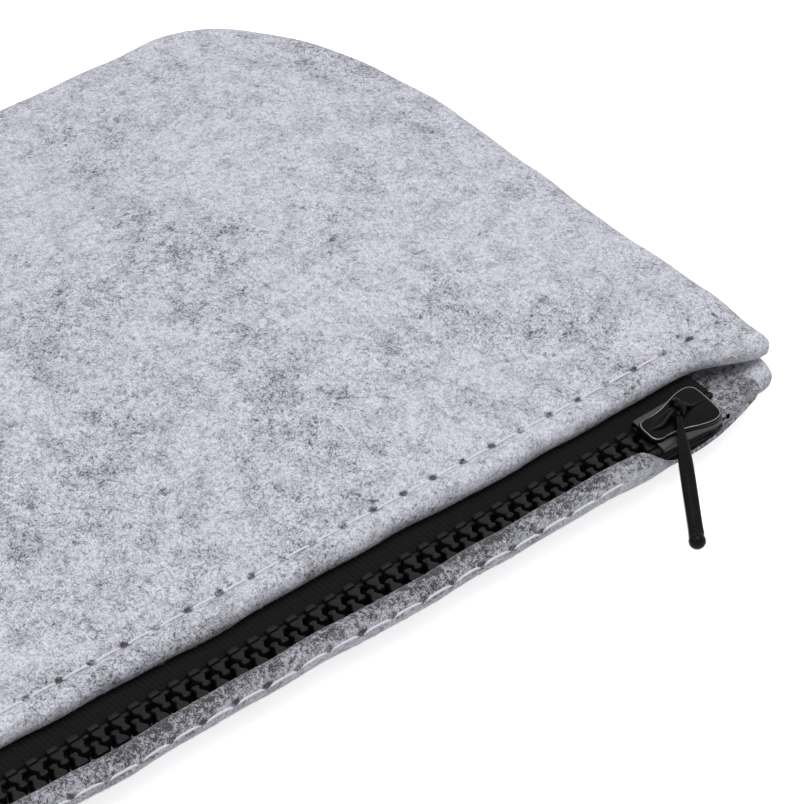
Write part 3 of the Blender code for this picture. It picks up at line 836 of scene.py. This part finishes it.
def grain_material(name, colour, scale, rough, bump, relief, tint=0.0, shine=0.5):
    """Finish with grain in its roughness, a slight change of colour and a fine bump."""
    material = bpy.data.materials.get(name)
    if material:
        return material
    material, tree, shader = new_material(name, Specular_IOR_Level=shine)
    grain = tree.nodes.new("ShaderNodeGroup")
    grain.node_tree = named_tree("Fine Grain", grain_group)
    grain.inputs["Scale"].default_value = scale
    grain.inputs["Low"].default_value, grain.inputs["High"].default_value = rough
    tree.links.new(grain.outputs["Value"], shader.inputs["Roughness"])
    shade = add_node(
        tree, "ShaderNodeMix",
        {0: grain.outputs["Height"], 6: (*(c * (1 - tint) for c in colour), 1.0),
         7: (*(min(1.0, c * (1 + tint)) for c in colour), 1.0)}, data_type="RGBA",
    )
    tree.links.new(shade.outputs[2], shader.inputs["Base Color"])
    ridge = add_node(
        tree, "ShaderNodeBump",
        {"Height": grain.outputs["Height"], "Strength": bump, "Distance": relief * MM},
    )
    tree.links.new(ridge.outputs[0], shader.inputs["Normal"])
    return material


def thread_material(thread):
    """Twisted sewing thread."""
    return grain_material(
        "Sewing Thread", thread.colour, 2600.0, (0.6, 0.85), 0.6, 0.15, tint=0.3
    )


def tooth_material(zipper):
    """Satin moulded plastic."""
    return grain_material(
        "Moulded Black", zipper.teeth, 900.0, (0.34, 0.5), 0.12, 0.05, tint=0.25, shine=0.16
    )


def tape_material(zipper):
    """Black woven tape."""
    return grain_material(
        "Woven Black", zipper.tape, 3200.0, (0.75, 0.95), 0.7, 0.2, tint=0.5, shine=0.1
    )


def enamel_material(slider):
    """Gloss black enamel with fine wear."""
    return grain_material(
        "Black Enamel", slider.colour, 700.0, (0.14, 0.28), 0.10, 0.05, tint=0.3, shine=0.08
    )


def wall_material(slider):
    """Satin black of the slider's channel walls, a little lighter than the enamel as painted light.
    """
    return grain_material(
        "Satin Black", [c + 0.02 for c in slider.colour], 900.0, (0.4, 0.55), 0.1, 0.05, tint=0.3
    )


def rim_highlight_material(slider):
    """Lighter enamel along the slider's rims, a painted highlight."""
    return grain_material(
        "Enamel Rim Highlight", [c + 0.28 for c in slider.colour], 420.0, (0.2, 0.4), 0.2, 0.05, tint=0.9
    )


def fibre_shape(name, length, radius, bow, steps):
    """One loose fibre, bowed and drawn to a point at both ends."""
    at = np.linspace(-0.5, 0.5, steps + 1)
    path = np.stack(
        [at * length, bow * length * (0.25 - at ** 2) * 4, 0.10 * length * (0.25 - at ** 2)], 1
    )
    sides = np.arange(3) / 3 * 2 * math.pi
    offsets = np.stack([np.zeros(3), np.cos(sides), np.sin(sides)], 1) * radius
    rings = [point + offsets for point in path[1:-1]]
    verts, faces = ring_shell(rings)
    verts[-2], verts[-1] = path[0], path[-1]
    return add_piece(name, new_mesh(name, verts, faces))


def scatter_fibres(name, skin, felt, way, material_light, material_dark):
    """Fuzz and dark hairs over a felt skin, as one mesh."""
    tree = named_tree("Loose Fibres", fibre_tree)
    fuzz = run_tree(
        name, tree, skin.copy(),
        {"Fibre": fibre_shape("fuzz", 1.0, 0.013, 0.12, 2), "Density": felt.fuzz,
         "Shortest": 0.5, "Longest": 1.3, "Lift": 0.34, "Seed": 7 + way,
         "Material": material_light},
    )
    hairs = run_tree(
        name + "_hairs", tree, skin.copy(),
        {"Fibre": fibre_shape("hair", 1.0, 0.010, 0.14, 4), "Density": felt.hairs,
         "Shortest": 0.6, "Longest": 2.2, "Lift": 0.08, "Seed": 21 + way,
         "Material": material_dark},
    )
    mesh = joined_mesh(name, fuzz, hairs)
    for material in (material_light, material_dark):
        mesh.materials.append(material)
    for k, polygon in enumerate(mesh.polygons):
        polygon.material_index = int(k >= len(fuzz.polygons))
    return add_piece(name, mesh)


def fibre_materials(felt):
    """Finishes of the pale fuzz and of the dark hairs."""
    pale = grain_material("Pale Fuzz", felt.light, 900.0, (0.85, 0.95), 0.1, 0.02, tint=0.12)
    hair = grain_material(
        "Dark Hair", [0.25 * c + 0.06 for c in felt.light], 700.0, (0.8, 0.95), 0.1, 0.02, tint=0.5
    )
    return pale, hair


class CASE_OT_upper_felt(bpy.types.Operator):
    """Upper felt panel with its rolled hem, in two halves"""

    bl_idname = "felt_case.upper_felt"
    bl_label = "Upper Felt"

    def execute(self, context):
        felt, thread = context.scene.felt_case_felt, context.scene.felt_case_thread
        outer, inner = upper_felt_rings(felt)
        material = felt_material(
            "Upper Felt", felt, thread, (0, UPPER_STITCH_Y, HEM_TOP - 0.2)
        )
        whole = new_mesh("upper_felt", *ring_shell(outer + inner))
        count, around = len(outer), len(outer[0])
        skin_verts = np.concatenate(outer)
        skin_faces = grid_faces(count, around)
        pale, hair = fibre_materials(felt)
        for side, way in (("left", -1), ("right", 1)):
            panel = add_piece("upper_felt_" + side, half_of(whole, way), material)
            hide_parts("upper_felt_panel")
            middle = skin_verts[[face[0] for face in skin_faces], 0]
            faces = [face for face, x in zip(skin_faces, middle) if x * way > 0.5]
            skin = new_mesh("skin", skin_verts, faces)
            if np.mean([polygon.normal.z for polygon in skin.polygons]) < 0:
                skin.flip_normals()
            fuzz = scatter_fibres("upper_fuzz_" + side, skin, felt, way, pale, hair)
            for piece in (panel, fuzz):
                bend_with_mouth(piece)
        return {"FINISHED"}


class CASE_OT_lower_felt(bpy.types.Operator):
    """Lower felt panel with its rolled edge and the lip in front of the zip"""

    bl_idname = "felt_case.lower_felt"
    bl_label = "Lower Felt"

    def execute(self, context):
        felt, thread = context.scene.felt_case_felt, context.scene.felt_case_thread
        under, rings, floor = lower_felt_rings()
        material = felt_material("Lower Felt", felt, thread, (0, *LOWER_STITCH), 1.0)
        mesh = new_mesh("lower_felt", *ring_shell(under + rings + floor))
        panel = add_piece("lower_felt", mesh, material)
        around = len(rings[0])
        # Painted shade kept in a point attribute: darker on the inner side of the rolled edge, more
        # beside the closed teeth, darker on the inner floor, and faint on the outside
        lip = lip_share(rings[0][:, 0]) * smooth((FRONT_Y + 8.0 - rings[0][:, 1]) / 3.0)
        inside = smooth((np.arange(LIP_STEPS) - 13.0) / 6.5)[:, None] * (0.45 + 0.2 * lip)
        outer_painted_shade, floor_painted_shade = 0.02, 0.28
        painted_shade = np.concatenate(
            [np.full(len(under) * around, outer_painted_shade), outer_painted_shade + inside.ravel(),
             np.full(len(floor) * around, floor_painted_shade), [outer_painted_shade, floor_painted_shade]]
        )
        mesh.attributes.new("painted_shade", "FLOAT", "POINT").data.foreach_set(
            "value", painted_shade.astype(np.float32)
        )
        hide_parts("lower_felt_panel")
        bare = 6                      # rings near the table that carry no fuzz
        skin = new_mesh(
            "skin", np.concatenate(rings[bare:]), grid_faces(len(rings) - bare, around)
        )
        if skin.polygons[around * 2].normal.z > 0:
            skin.flip_normals()
        pale, hair = fibre_materials(felt)
        fuzz = scatter_fibres("lower_fuzz", skin, felt, 3, pale, hair)
        for piece in (panel, fuzz):
            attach(piece, "pouch")
        return {"FINISHED"}


# Ends of the stitch lines: from the case's sides above, and from its middle below
STITCH_END = 9.0
LOWER_STITCH_END = 69.0


def stitch_shape(thread, share, sink):
    """One stitch: a thread that arches up out of a needle hole and down into the next."""
    pitch, radius = thread.pitch / MM, thread.diameter / MM / 2
    at = np.linspace(-0.5, 0.5, 9)
    path = np.stack([at * pitch * share, np.zeros(9), radius * 1.5 * (1 - (2 * at) ** 4)], 1)
    path[:, 2] -= radius * sink
    return add_piece("stitch", new_mesh("stitch", *tube(path, radius, 6, 0.6)))


def path_mesh(name, points):
    """A line of edges through points in millimetres."""
    mesh = bpy.data.meshes.new(name)
    edges = [(k, k + 1) for k in range(len(points) - 1)]
    mesh.from_pydata((np.asarray(points, float) * MM).tolist(), edges, [])
    return mesh


class CASE_OT_stitching(bpy.types.Operator):
    """Stitch lines on both sides of the zip, and the closing seam round the case"""

    bl_idname = "felt_case.stitching"
    bl_label = "Stitching"

    def execute(self, context):
        scene = context.scene
        felt, thread = scene.felt_case_felt, scene.felt_case_thread
        material = thread_material(thread)
        tree = named_tree("Stitches on a Path", stitch_tree)
        pitch = thread.pitch / MM

        def sew(name, points, share=0.86, sink=0.8):
            mesh = run_tree(
                name, tree, path_mesh(name, points),
                {"Stitch": stitch_shape(thread, share, sink), "Pitch": thread.pitch,
                 "Material": material},
            )
            piece = add_piece(name, mesh)
            return piece

        reach = int((SIDE_X - STITCH_END) / pitch)
        for side, way in (("left", -1), ("right", 1)):
            x = way * np.arange(0 if way > 0 else 1, reach + 1) * pitch
            line = at_height(x[:, None], UPPER_STITCH_Y)
            share = (STITCH_INSET - EDGE_INSET) / (HALF_Y - EDGE_INSET)
            height = crown_height(*line.T, share, felt.crown / MM, felt.groove / MM)
            piece = sew("upper_stitches_" + side, at_height(line, HEM_TOP + height))
            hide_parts("upper_topstitch")
            bend_with_mouth(piece)

        row = lower_felt_rings()[1][LOWER_STITCH_RING]
        row = row[row[:, 1] < FRONT_Y + 4.0]
        row = row[np.argsort(row[:, 0])]
        reach = int(LOWER_STITCH_END / pitch)
        x = np.arange(-reach, reach + 1) * pitch
        y, z = (np.interp(x, row[:, 0], row[:, k]) for k in (1, 2))
        piece = sew("lower_stitches", np.stack([x, y, z], 1), sink=1.5)
        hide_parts("lower_topstitch")
        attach(piece, "pouch")

        plan, normals = panel_plan(FRONT_Y, *FRONT_CORNER, PLAN_STEP)
        inset = SIDE_X - SEAM_HIGH[0] + 0.25
        path = at_height(plan - normals * inset, SEAM_Z)
        path = path[path[:, 1] > SEAM_LOW[1]]
        piece = sew("seam_stitches", path, 0.96)
        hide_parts("seam_thread")
        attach(piece, "pouch")
        return {"FINISHED"}


# How much shorter the tapes are than the frame's, how far a rib stands out, and a tape's edge
TAPE_TRIM = 1.6
RIB_HEIGHT = 0.08
TAPE_EDGE = 0.12


def tape_strip(low_x, high_x, low_y, high_y, low_z, high_z):
    """Flat woven strip with rounded edges, cut along its length so that it can bend."""
    near, far, middle = low_y + TAPE_EDGE, high_y - TAPE_EDGE, (low_z + high_z) / 2
    section = [(near, low_z), (far, low_z), (high_y, middle), (far, high_z), (near, high_z),
               (low_y, middle)]
    rings = [[(x, y, z) for y, z in section] for x in np.linspace(low_x, high_x, 60)]
    return ring_shell(rings, poles=False)


def tape_rib(low_y, high_y, z, width):
    """One rib of the weave, across the tape."""
    turn = np.radians((0, 45, 90, 135, 180))
    section = [(width / 2 * math.cos(a), z + 0.09 * math.sin(a)) for a in turn]
    section += [(-width / 2, z - 0.05), (width / 2, z - 0.05)]
    rings = [[(x, y, h) for x, h in section] for y in (low_y + 0.1, high_y - 0.1)]
    return add_piece("rib", new_mesh("rib", *ring_shell(rings, poles=False)))


class CASE_OT_zip_tapes(bpy.types.Operator):
    """Black ribbed tapes that carry the two rows of teeth"""

    bl_idname = "felt_case.zip_tapes"
    bl_label = "Zip Tapes"

    def execute(self, context):
        zipper = context.scene.felt_case_zip
        material, step = tape_material(zipper), zipper.rib / MM

        def weave(name, low_x, high_x, low, high):
            count = int((high_x - low_x) / step)
            ribs = run_tree(
                name, named_tree("Row of Shapes", row_tree), bpy.data.meshes.new(name),
                {"Shape": tape_rib(low[1], high[1], high[2] - RIB_HEIGHT, step * 0.86),
                 "Count": count,
                 "Start": Vector((low_x + step / 2, 0, 0)) * MM,
                 "Step": Vector((zipper.rib, 0, 0)), "Material": material},
            )
            base = new_mesh(
                name, *tape_strip(low_x, high_x, low[1], high[1], low[2], high[2] - RIB_HEIGHT)
            )
            piece = add_piece(name, joined_mesh(name, ribs, base), material)
            return piece

        end = UPPER_TAPE_HIGH[0] - TAPE_TRIM
        near = UPPER_TAPE_LOW - (0, 0.35, 0)
        for side, way, low_x, high_x in (("left", -1, -end, 0.0), ("right", 1, 0.0, end)):
            piece = weave("upper_tape_" + side, low_x, high_x, near, UPPER_TAPE_HIGH)
            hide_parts("upper_zip_tape")
            bend_with_mouth(piece)
        piece = weave(
            "lower_tape", LOWER_TAPE_LOW[0], LOWER_TAPE_HIGH[0] - TAPE_TRIM,
            LOWER_TAPE_LOW + (0, 0.45, 0), LOWER_TAPE_HIGH + (0, 0.6, 0),
        )
        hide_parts("lower_zip_tape")
        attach(piece, "pouch")
        return {"FINISHED"}


# Upper row: its last tooth from the slider's middle, and room before its first
LAST_TOOTH = 1.09
FIRST_TOOTH = 0.8

# Bead cord that carries a row of teeth
CORD_RADIUS = 0.36
CORD_INSET = 0.42
CORD_STEPS = 80


def tooth_shape(way, height):
    """One tooth: end bar, groove, and a cup that narrows to a flared head."""
    half = height / 2
    cup = ((0.66, 0.92), (0.74, 1.02), (0.74, 1.4), (0.40, 1.95), (0.31, 2.26), (0.48, 2.6),
           (0.48, 2.74), (0.24, 2.9))
    bar = ((0.62, 0.02), (0.70, 0.1), (0.70, 0.66), (0.62, 0.74))
    web = ((0.34, 0.5), (0.34, 1.3))
    shapes = []
    for outline, levels in (
        (cup, ((-half, 0.1), (-half + 0.12, 0.0), (half - 0.16, 0.0), (half - 0.04, 0.07),
               (half, 0.16))),
        (bar, ((-half, 0.1), (-half + 0.12, 0.0), (half - 0.22, 0.0), (half - 0.06, 0.08),
               (half, 0.2))),
        (web, ((-half + 0.1, 0.0), (half - 0.55, 0.0))),
    ):
        loop = np.array([*outline, *((-w, d) for w, d in reversed(outline))])
        centre = loop.mean(0)
        rings = []
        for z, inset in levels:
            away = loop - centre
            size = np.linalg.norm(away, axis=1)[:, None]
            flat = centre + away * (1 - np.minimum(inset / size, 0.6))
            rings.append(at_height(flat * (1, way), z))
        shapes.append(ring_shell(rings, poles=False))
    return add_piece("tooth", new_mesh("tooth", *join_shapes(*shapes)))


def stop_shape(low, high):
    """Moulded end stop: a low pillow that grips the edge of the tape."""
    middle, half = (low + high) / 2, (high - low) / 2
    loop = round_loop(16, 0.5) * half[:2]
    levels = ((0.7, -0.8), (0.95, -0.6), (1.0, -0.3), (0.95, -0.05), (0.7, 0.1))
    return ring_shell([
        at_height(middle[:2] + loop * share, middle[2] + half[2] * height)
        for share, height in levels
    ])


class CASE_OT_teeth(bpy.types.Operator):
    """Both rows of moulded teeth on their bead cords, and the end stops"""

    bl_idname = "felt_case.teeth"
    bl_label = "Teeth"

    def execute(self, context):
        zipper = context.scene.felt_case_zip
        material, pitch = tooth_material(zipper), zipper.pitch / MM
        tall = UPPER_ROW_HIGH[2] - UPPER_ROW_LOW[2]

        def row(name, foot_y, way, places, low_x, high_x):
            teeth = run_tree(
                name, named_tree("Row of Shapes", row_tree), bpy.data.meshes.new(name),
                {"Shape": tooth_shape(way, tall), "Count": len(places),
                 "Start": Vector((places[0], foot_y, ZIP_Z)) * MM,
                 "Step": Vector((-zipper.pitch, 0, 0)), "Material": material},
            )
            path = np.linspace(
                (low_x, foot_y + way * CORD_INSET, ZIP_Z),
                (high_x, foot_y + way * CORD_INSET, ZIP_Z), CORD_STEPS,
            )
            cord = new_mesh(name, *tube(path, CORD_RADIUS))
            piece = add_piece(name, joined_mesh(name, teeth, cord), material)
            return piece

        last = SLIDER_X - LAST_TOOTH
        count = int((last - UPPER_ROW_LOW[0] - FIRST_TOOTH) / pitch) + 1
        upper = last - pitch * np.arange(count)
        low_x, high_x = UPPER_ROW_LOW[0], UPPER_ROW_HIGH[0]
        for side, way in (("left", -1), ("right", 1)):
            places = upper[upper * way > 0]
            ends = (0.0, high_x) if way > 0 else (low_x, 0.0)
            piece = row("upper_row_" + side, UPPER_ROW_HIGH[1], -1, places, *ends)
            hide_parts("upper_teeth")
            bend_with_mouth(piece)
        lower = last + pitch / 2 - pitch * np.arange(count)
        piece = row("lower_row", LOWER_ROW_LOW[1], 1, lower, LOWER_ROW_LOW[0], LOWER_ROW_HIGH[0])
        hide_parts("lower_teeth")
        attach(piece, "pouch")

        bottom = frame["nodes"]["bottom_stop"].data
        bottom.materials.clear()
        bottom.materials.append(material)
        for node, name in (("upper_top_stop", "upper_stop"), ("lower_top_stop", "lower_stop")):
            low, high = cad_box(node)
            if node == "lower_top_stop":
                low, high = low + (0.3, 0.8, 0.0), high - (0.8, 0.0, 0.35)
            stop = add_piece(name, new_mesh(name, *stop_shape(low, high)), material)
            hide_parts(node)
            if node == "upper_top_stop":
                bend_with_mouth(stop)
            else:
                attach(stop, "pouch")
        return {"FINISHED"}


def lean(verts, angle):
    """Slider shapes turned about a line along the zip, just above it, front edge down."""
    verts = np.array(verts, float)
    axis_z = ZIP_Z + 0.9
    y, z = verts[:, 1] - ZIP_Y, verts[:, 2] - axis_z
    verts[:, 1] = ZIP_Y + y * math.cos(angle) - z * math.sin(angle)
    verts[:, 2] = axis_z + y * math.sin(angle) + z * math.cos(angle)
    return verts


def slider_plan(count):
    """Half widths of the slider's top plate along its length, from tail to mouth."""
    outline = ((-4.75, 0.2), (-4.7, 1.0), (-4.35, 1.5), (-3.7, 1.68), (-2.9, 1.66), (-1.6, 1.82),
               (0.0, 2.25), (1.3, 2.62), (2.6, 2.85), (3.6, 2.82), (4.25, 2.5), (4.55, 1.9),
               (4.65, 0.6))
    return spline(outline, count)


class CASE_OT_slider(bpy.types.Operator):
    """Slider: channel plates, post, raised plate and the bridge that the pull hangs on"""

    bl_idname = "felt_case.slider"
    bl_label = "Slider"

    def execute(self, context):
        slider = context.scene.felt_case_slider
        material = enamel_material(slider)
        shapes = []
        half_height, half_width, wall_thick, chamber = 1.55, 2.95, 0.12, 1.34
        tape_slot, rear_slot = 0.27, 0.72
        top, bottom = ZIP_Z + half_height, ZIP_Z - half_height
        for plate_z, way in ((top, 1), (bottom, -1)):
            sections = []
            for u, shrink in ((-4.3, 0.34), (-4.0, 0.26), (-2.0, 0.25), (1.0, 0.15), (3.4, 0.0),
                              (4.1, 0.12), (4.45, 0.4)):
                half = half_width - shrink
                wall, slot = half - wall_thick, ZIP_Z + way * tape_slot
                rear = slot if way > 0 else ZIP_Z - rear_slot
                crest, roof = plate_z - way * 0.1, ZIP_Z + way * chamber
                low, high = crest - way * 0.28, crest - way * 0.08
                line = ((-half, slot), (-half, low), (-half + 0.1, high), (-half + 0.32, crest),
                        (half - 0.32, crest), (half - 0.1, high), (half, low), (half, rear),
                        (wall, rear), (wall, roof), (-wall, roof), (-wall, slot))
                sections.append([(SLIDER_X + u, ZIP_Y + v, z) for v, z in line])
            shapes.append(ring_shell(sections, poles=False))
        plan = slider_plan(34)
        rims = []
        for plate_z, way, share, foot in ((top, 1, 1.0, -0.36), (bottom + 0.2, -1, 0.86, -0.06)):
            loop = np.concatenate([plan, (plan * (1, -1))[::-1]]) * share
            rings = []
            for rise, inset in ((foot, 0.0), (0.2, 0.0), (0.34, 0.06), (0.41, 0.15), (0.43, 0.25),
                                (0.45, 0.5)):
                away = np.linalg.norm(loop, axis=1)[:, None]
                flat = loop * (1 - inset / away)
                rings.append(at_height(flat + (SLIDER_X, ZIP_Y), plate_z + way * rise))
            # Faces of the band between the rings set in 0.15 and 0.25 mm, which take the painted
            # highlight
            rims.append((sum(len(faces) for _, faces in shapes) + 3 * len(loop), len(loop)))
            shapes.append(ring_shell(rings))
        post = ((2.4, 0.08), (3.0, 0.24), (3.5, 0.34), (4.1, 0.3), (4.3, 0.12))
        loop = np.array([*post, *((u, -v) for u, v in reversed(post))]) + (SLIDER_X, ZIP_Y)
        rings = [at_height(loop, z) for z in (ZIP_Z - 1.1, ZIP_Z + 1.1)]
        shapes.append(ring_shell(rings, poles=False))
        verts, faces = join_shapes(*shapes)
        mesh = new_mesh("slider", lean(verts, slider.roll), faces)
        body = add_piece("slider_shell", mesh, material)
        mesh.materials.append(rim_highlight_material(slider))
        mesh.materials.append(wall_material(slider))
        walls = sum(len(faces) for _, faces in shapes[:2])
        # Slot 1 paints highlight lines on the rim bands; slot 2 takes the channel walls
        for slot, start, count in [(2, 0, walls)] + [(1, *rim) for rim in rims]:
            for polygon in mesh.polygons[start:start + count]:
                polygon.material_index = slot
        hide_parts("slider_body")

        # Along the slider, height, half width and half thickness of the bridge
        high = PIVOT[2]
        arch = spline(
            ((-4.3, top + 0.38, 0.10, 0.10), (-3.6, top + 0.46, 0.42, 0.2),
             (-2.6, top + 0.66, 0.72, 0.26), (-1.7, high - 0.32, 0.56, 0.27),
             (-0.8, high, 0.42, 0.27), (0.7, high, 0.42, 0.27), (1.4, high - 0.3, 0.34, 0.25),
             (2.0, top + 0.56, 0.24, 0.2), (3.0, top + 0.46, 0.16, 0.14),
             (4.3, top + 0.4, 0.08, 0.1)), 41,
        )
        slope = np.gradient(arch[:, :2], axis=0)
        slope /= np.linalg.norm(slope, axis=1)[:, None]
        loop = round_loop(12, 0.8)
        sections = []
        for (u, z, wide, deep), (du, dz) in zip(arch, slope):
            across, up = (loop * (wide, deep)).T
            sections.append(
                np.stack([SLIDER_X + u - dz * up, ZIP_Y + across, z + du * up], 1)
            )
        mesh = new_mesh("slider_loop", *ring_shell(sections))
        bridge = add_piece("slider_loop", mesh, material)
        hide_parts("slider_bridge")
        for piece in (body, bridge):
            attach(piece, "slider")
        return {"FINISHED"}


class CASE_OT_pull_tab(bpy.types.Operator):
    """Pull tab: ring on the bridge, slim neck, bar and end bead"""

    bl_idname = "felt_case.pull_tab"
    bl_label = "Pull Tab"

    def execute(self, context):
        slider = context.scene.felt_case_slider
        material = enamel_material(slider)
        yaw, dip = math.radians(34.4), math.radians(14.75)
        ahead = np.array([-math.sin(yaw) * math.cos(dip), -math.cos(yaw) * math.cos(dip),
                          -math.sin(dip)])
        side = np.array([math.cos(yaw), -math.sin(yaw), 0.0])
        up = np.cross(ahead, side)
        up = up if up[2] > 0 else -up
        width = slider.tab / MM

        def section(along, loop):
            return PIVOT + ahead * along + loop[:, :1] * side + loop[:, 1:] * up

        # Length from the pivot, width and thickness
        bar = ((0.95, 0.62, 0.48), (1.3, 0.72, 0.6), (2.4, 0.80, 0.68), (3.6, 0.95, 0.82),
               (5.0, 1.3, 1.08), (7.0, 1.56, 1.28), (9.5, width, 1.35), (13.0, width, 1.35),
               (15.6, width, 1.35), (16.6, width * 1.04, 1.5))
        square, circle = round_loop(16, 0.55), round_loop(16)
        sections = [
            section(along, square * (wide / 2, deep / 2)) for along, wide, deep in spline(bar, 40)
        ]
        bead, bead_radius, bead_half = 17.4, 0.96, 0.9
        for swing in np.radians(np.arange(-27, 78, 13)):
            along = bead + bead_half * math.sin(swing)
            sections.append(section(along, circle * bead_radius * math.cos(swing)))

        # Ring round the bridge, its hole along the zip
        level = np.array([0.0, -math.cos(dip), -math.sin(dip)])
        axis = np.array([1.0, 0.0, 0.0])
        lift = np.cross(axis, level)
        radius, wire = 0.95, round_loop(10) * (0.25, 0.34)
        rings = []
        for c, s in round_loop(28):
            out = level * c + lift * s
            rings.append(PIVOT + out * radius + wire[:, :1] * out + wire[:, 1:] * axis)
        around, last = len(wire), (len(rings) - 1) * len(wire)
        faces = grid_faces(len(rings), around)
        for i in range(around):
            j = (i + 1) % around
            faces.append((last + i, last + j, j, i))
        loop = (np.concatenate(rings), faces)
        mesh = new_mesh("pull", *join_shapes(ring_shell(sections), loop))
        tab = add_piece("pull", mesh, material)
        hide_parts("pull_tab")
        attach(tab, "pull")
        return {"FINISHED"}


# The camera's place in metres, its right and up, and the floor's own light
CAMERA_PLACE = (-0.1729, -0.30274, 0.30965)
CAMERA_RIGHT = (0.77234, -0.63521, 0.0)
CAMERA_UP = (0.40780, 0.49584, 0.76671)
FLOOR_GLOW = 0.72


def seen_rays(tree):
    """Mask of the rays that see the background: camera, glossy and transmission."""
    path = tree.nodes.new("ShaderNodeLightPath")
    rays = math_node(
        tree, "MAXIMUM", path.outputs["Is Camera Ray"], path.outputs["Is Glossy Ray"]
    )
    return math_node(tree, "MAXIMUM", rays, path.outputs["Is Transmission Ray"])


class CASE_OT_stage(bpy.types.Operator):
    """Pale floor, soft lamps and the camera"""

    bl_idname = "felt_case.stage"
    bl_label = "Stage"

    def execute(self, context):
        scene, stage = context.scene, context.scene.felt_case_stage
        scene.view_settings.view_transform = "Standard"
        floor_mesh = bpy.data.meshes.new("floor")
        reach = 6.0
        floor_mesh.from_pydata(
            [(-reach, -reach, 0), (reach, -reach, 0), (reach, reach, 0), (-reach, reach, 0)], [],
            [(0, 1, 2, 3)],
        )
        material, tree, shader = new_material(
            "Pale Floor", Roughness=0.9, Base_Color=(*stage.floor, 1.0), Specular_IOR_Level=0.1
        )
        glow = add_node(tree, "ShaderNodeEmission", {"Color": (1, 1, 1, 1), "Strength": FLOOR_GLOW})
        both = add_node(tree, "ShaderNodeAddShader", {0: shader.outputs[0], 1: glow.outputs[0]})
        choice = add_node(
            tree, "ShaderNodeMixShader",
            {0: seen_rays(tree), 1: shader.outputs[0], 2: both.outputs[0]},
        )
        tree.links.new(choice.outputs[0], tree.nodes["Material Output"].inputs["Surface"])
        floor = add_piece("floor", floor_mesh, material)

        world = bpy.data.worlds.new("soft_sky")
        scene.world = world
        world.use_nodes = True
        tree = world.node_tree
        sky = tree.nodes["Background"]
        sky.inputs["Color"].default_value = (1, 1, 1, 1)
        sky.inputs["Strength"].default_value = stage.sky
        white = add_node(tree, "ShaderNodeBackground", {"Color": (1, 1, 1, 1), "Strength": 1.0})
        choice = add_node(
            tree, "ShaderNodeMixShader",
            {0: seen_rays(tree), 1: sky.outputs[0], 2: white.outputs[0]},
        )
        tree.links.new(choice.outputs[0], tree.nodes["World Output"].inputs["Surface"])

        for name, place, size, power in (
            ("key", (0.06, -0.12, 0.62), 0.40, stage.key),
            ("fill", (-0.45, 0.10, 0.65), 0.5, stage.key * 0.25),
        ):
            lamp = bpy.data.lights.new(name, "AREA")
            lamp.energy, lamp.size = power, size
            item = bpy.data.objects.new(name, lamp)
            item.location = place
            item.rotation_euler = (-Vector(place)).to_track_quat("-Z", "Y").to_euler()
            scene.collection.objects.link(item)

        lens = bpy.data.cameras.new("camera")
        lens.lens, lens.sensor_width, lens.sensor_fit = stage.lens, 36.0, "HORIZONTAL"
        lens.clip_start, lens.clip_end = 0.01, 50.0
        camera = bpy.data.objects.new("camera", lens)
        right, up = Vector(CAMERA_RIGHT), Vector(CAMERA_UP)
        turn = Matrix((right, up, right.cross(up))).transposed().to_4x4()
        camera.matrix_world = Matrix.Translation(CAMERA_PLACE) @ turn
        scene.collection.objects.link(camera)
        scene.camera = camera
        return {"FINISHED"}


OPERATORS = (
    CASE_OT_stage, CASE_OT_lower_felt, CASE_OT_upper_felt, CASE_OT_stitching, CASE_OT_zip_tapes,
    CASE_OT_teeth, CASE_OT_slider, CASE_OT_pull_tab,
)


class CASE_PT_sidebar(bpy.types.Panel):
    """Lists the case's pieces in the sidebar"""

    bl_idname = "CASE_PT_sidebar"
    bl_label = "Felt Case"
    bl_space_type = "VIEW_3D"
    bl_region_type = "UI"
    bl_category = "Felt Case"

    def draw(self, context):
        for operator in OPERATORS:
            self.layout.operator(operator.bl_idname)


SETTINGS = {
    "felt_case_felt": FeltSettings,
    "felt_case_thread": ThreadSettings,
    "felt_case_zip": ZipSettings,
    "felt_case_slider": SliderSettings,
    "felt_case_stage": StageSettings,
}


def register():
    for item in (*SETTINGS.values(), *OPERATORS, CASE_PT_sidebar):
        bpy.utils.register_class(item)
    for name, group in SETTINGS.items():
        setattr(bpy.types.Scene, name, PointerProperty(type=group))


def unregister():
    for name in SETTINGS:
        delattr(bpy.types.Scene, name)
    for item in reversed((*SETTINGS.values(), *OPERATORS, CASE_PT_sidebar)):
        bpy.utils.unregister_class(item)


def main():
    register()
    for operator in OPERATORS:
        group, name = operator.bl_idname.split(".")
        getattr(getattr(bpy.ops, group), name)()


if __name__ == "__main__":
    main()
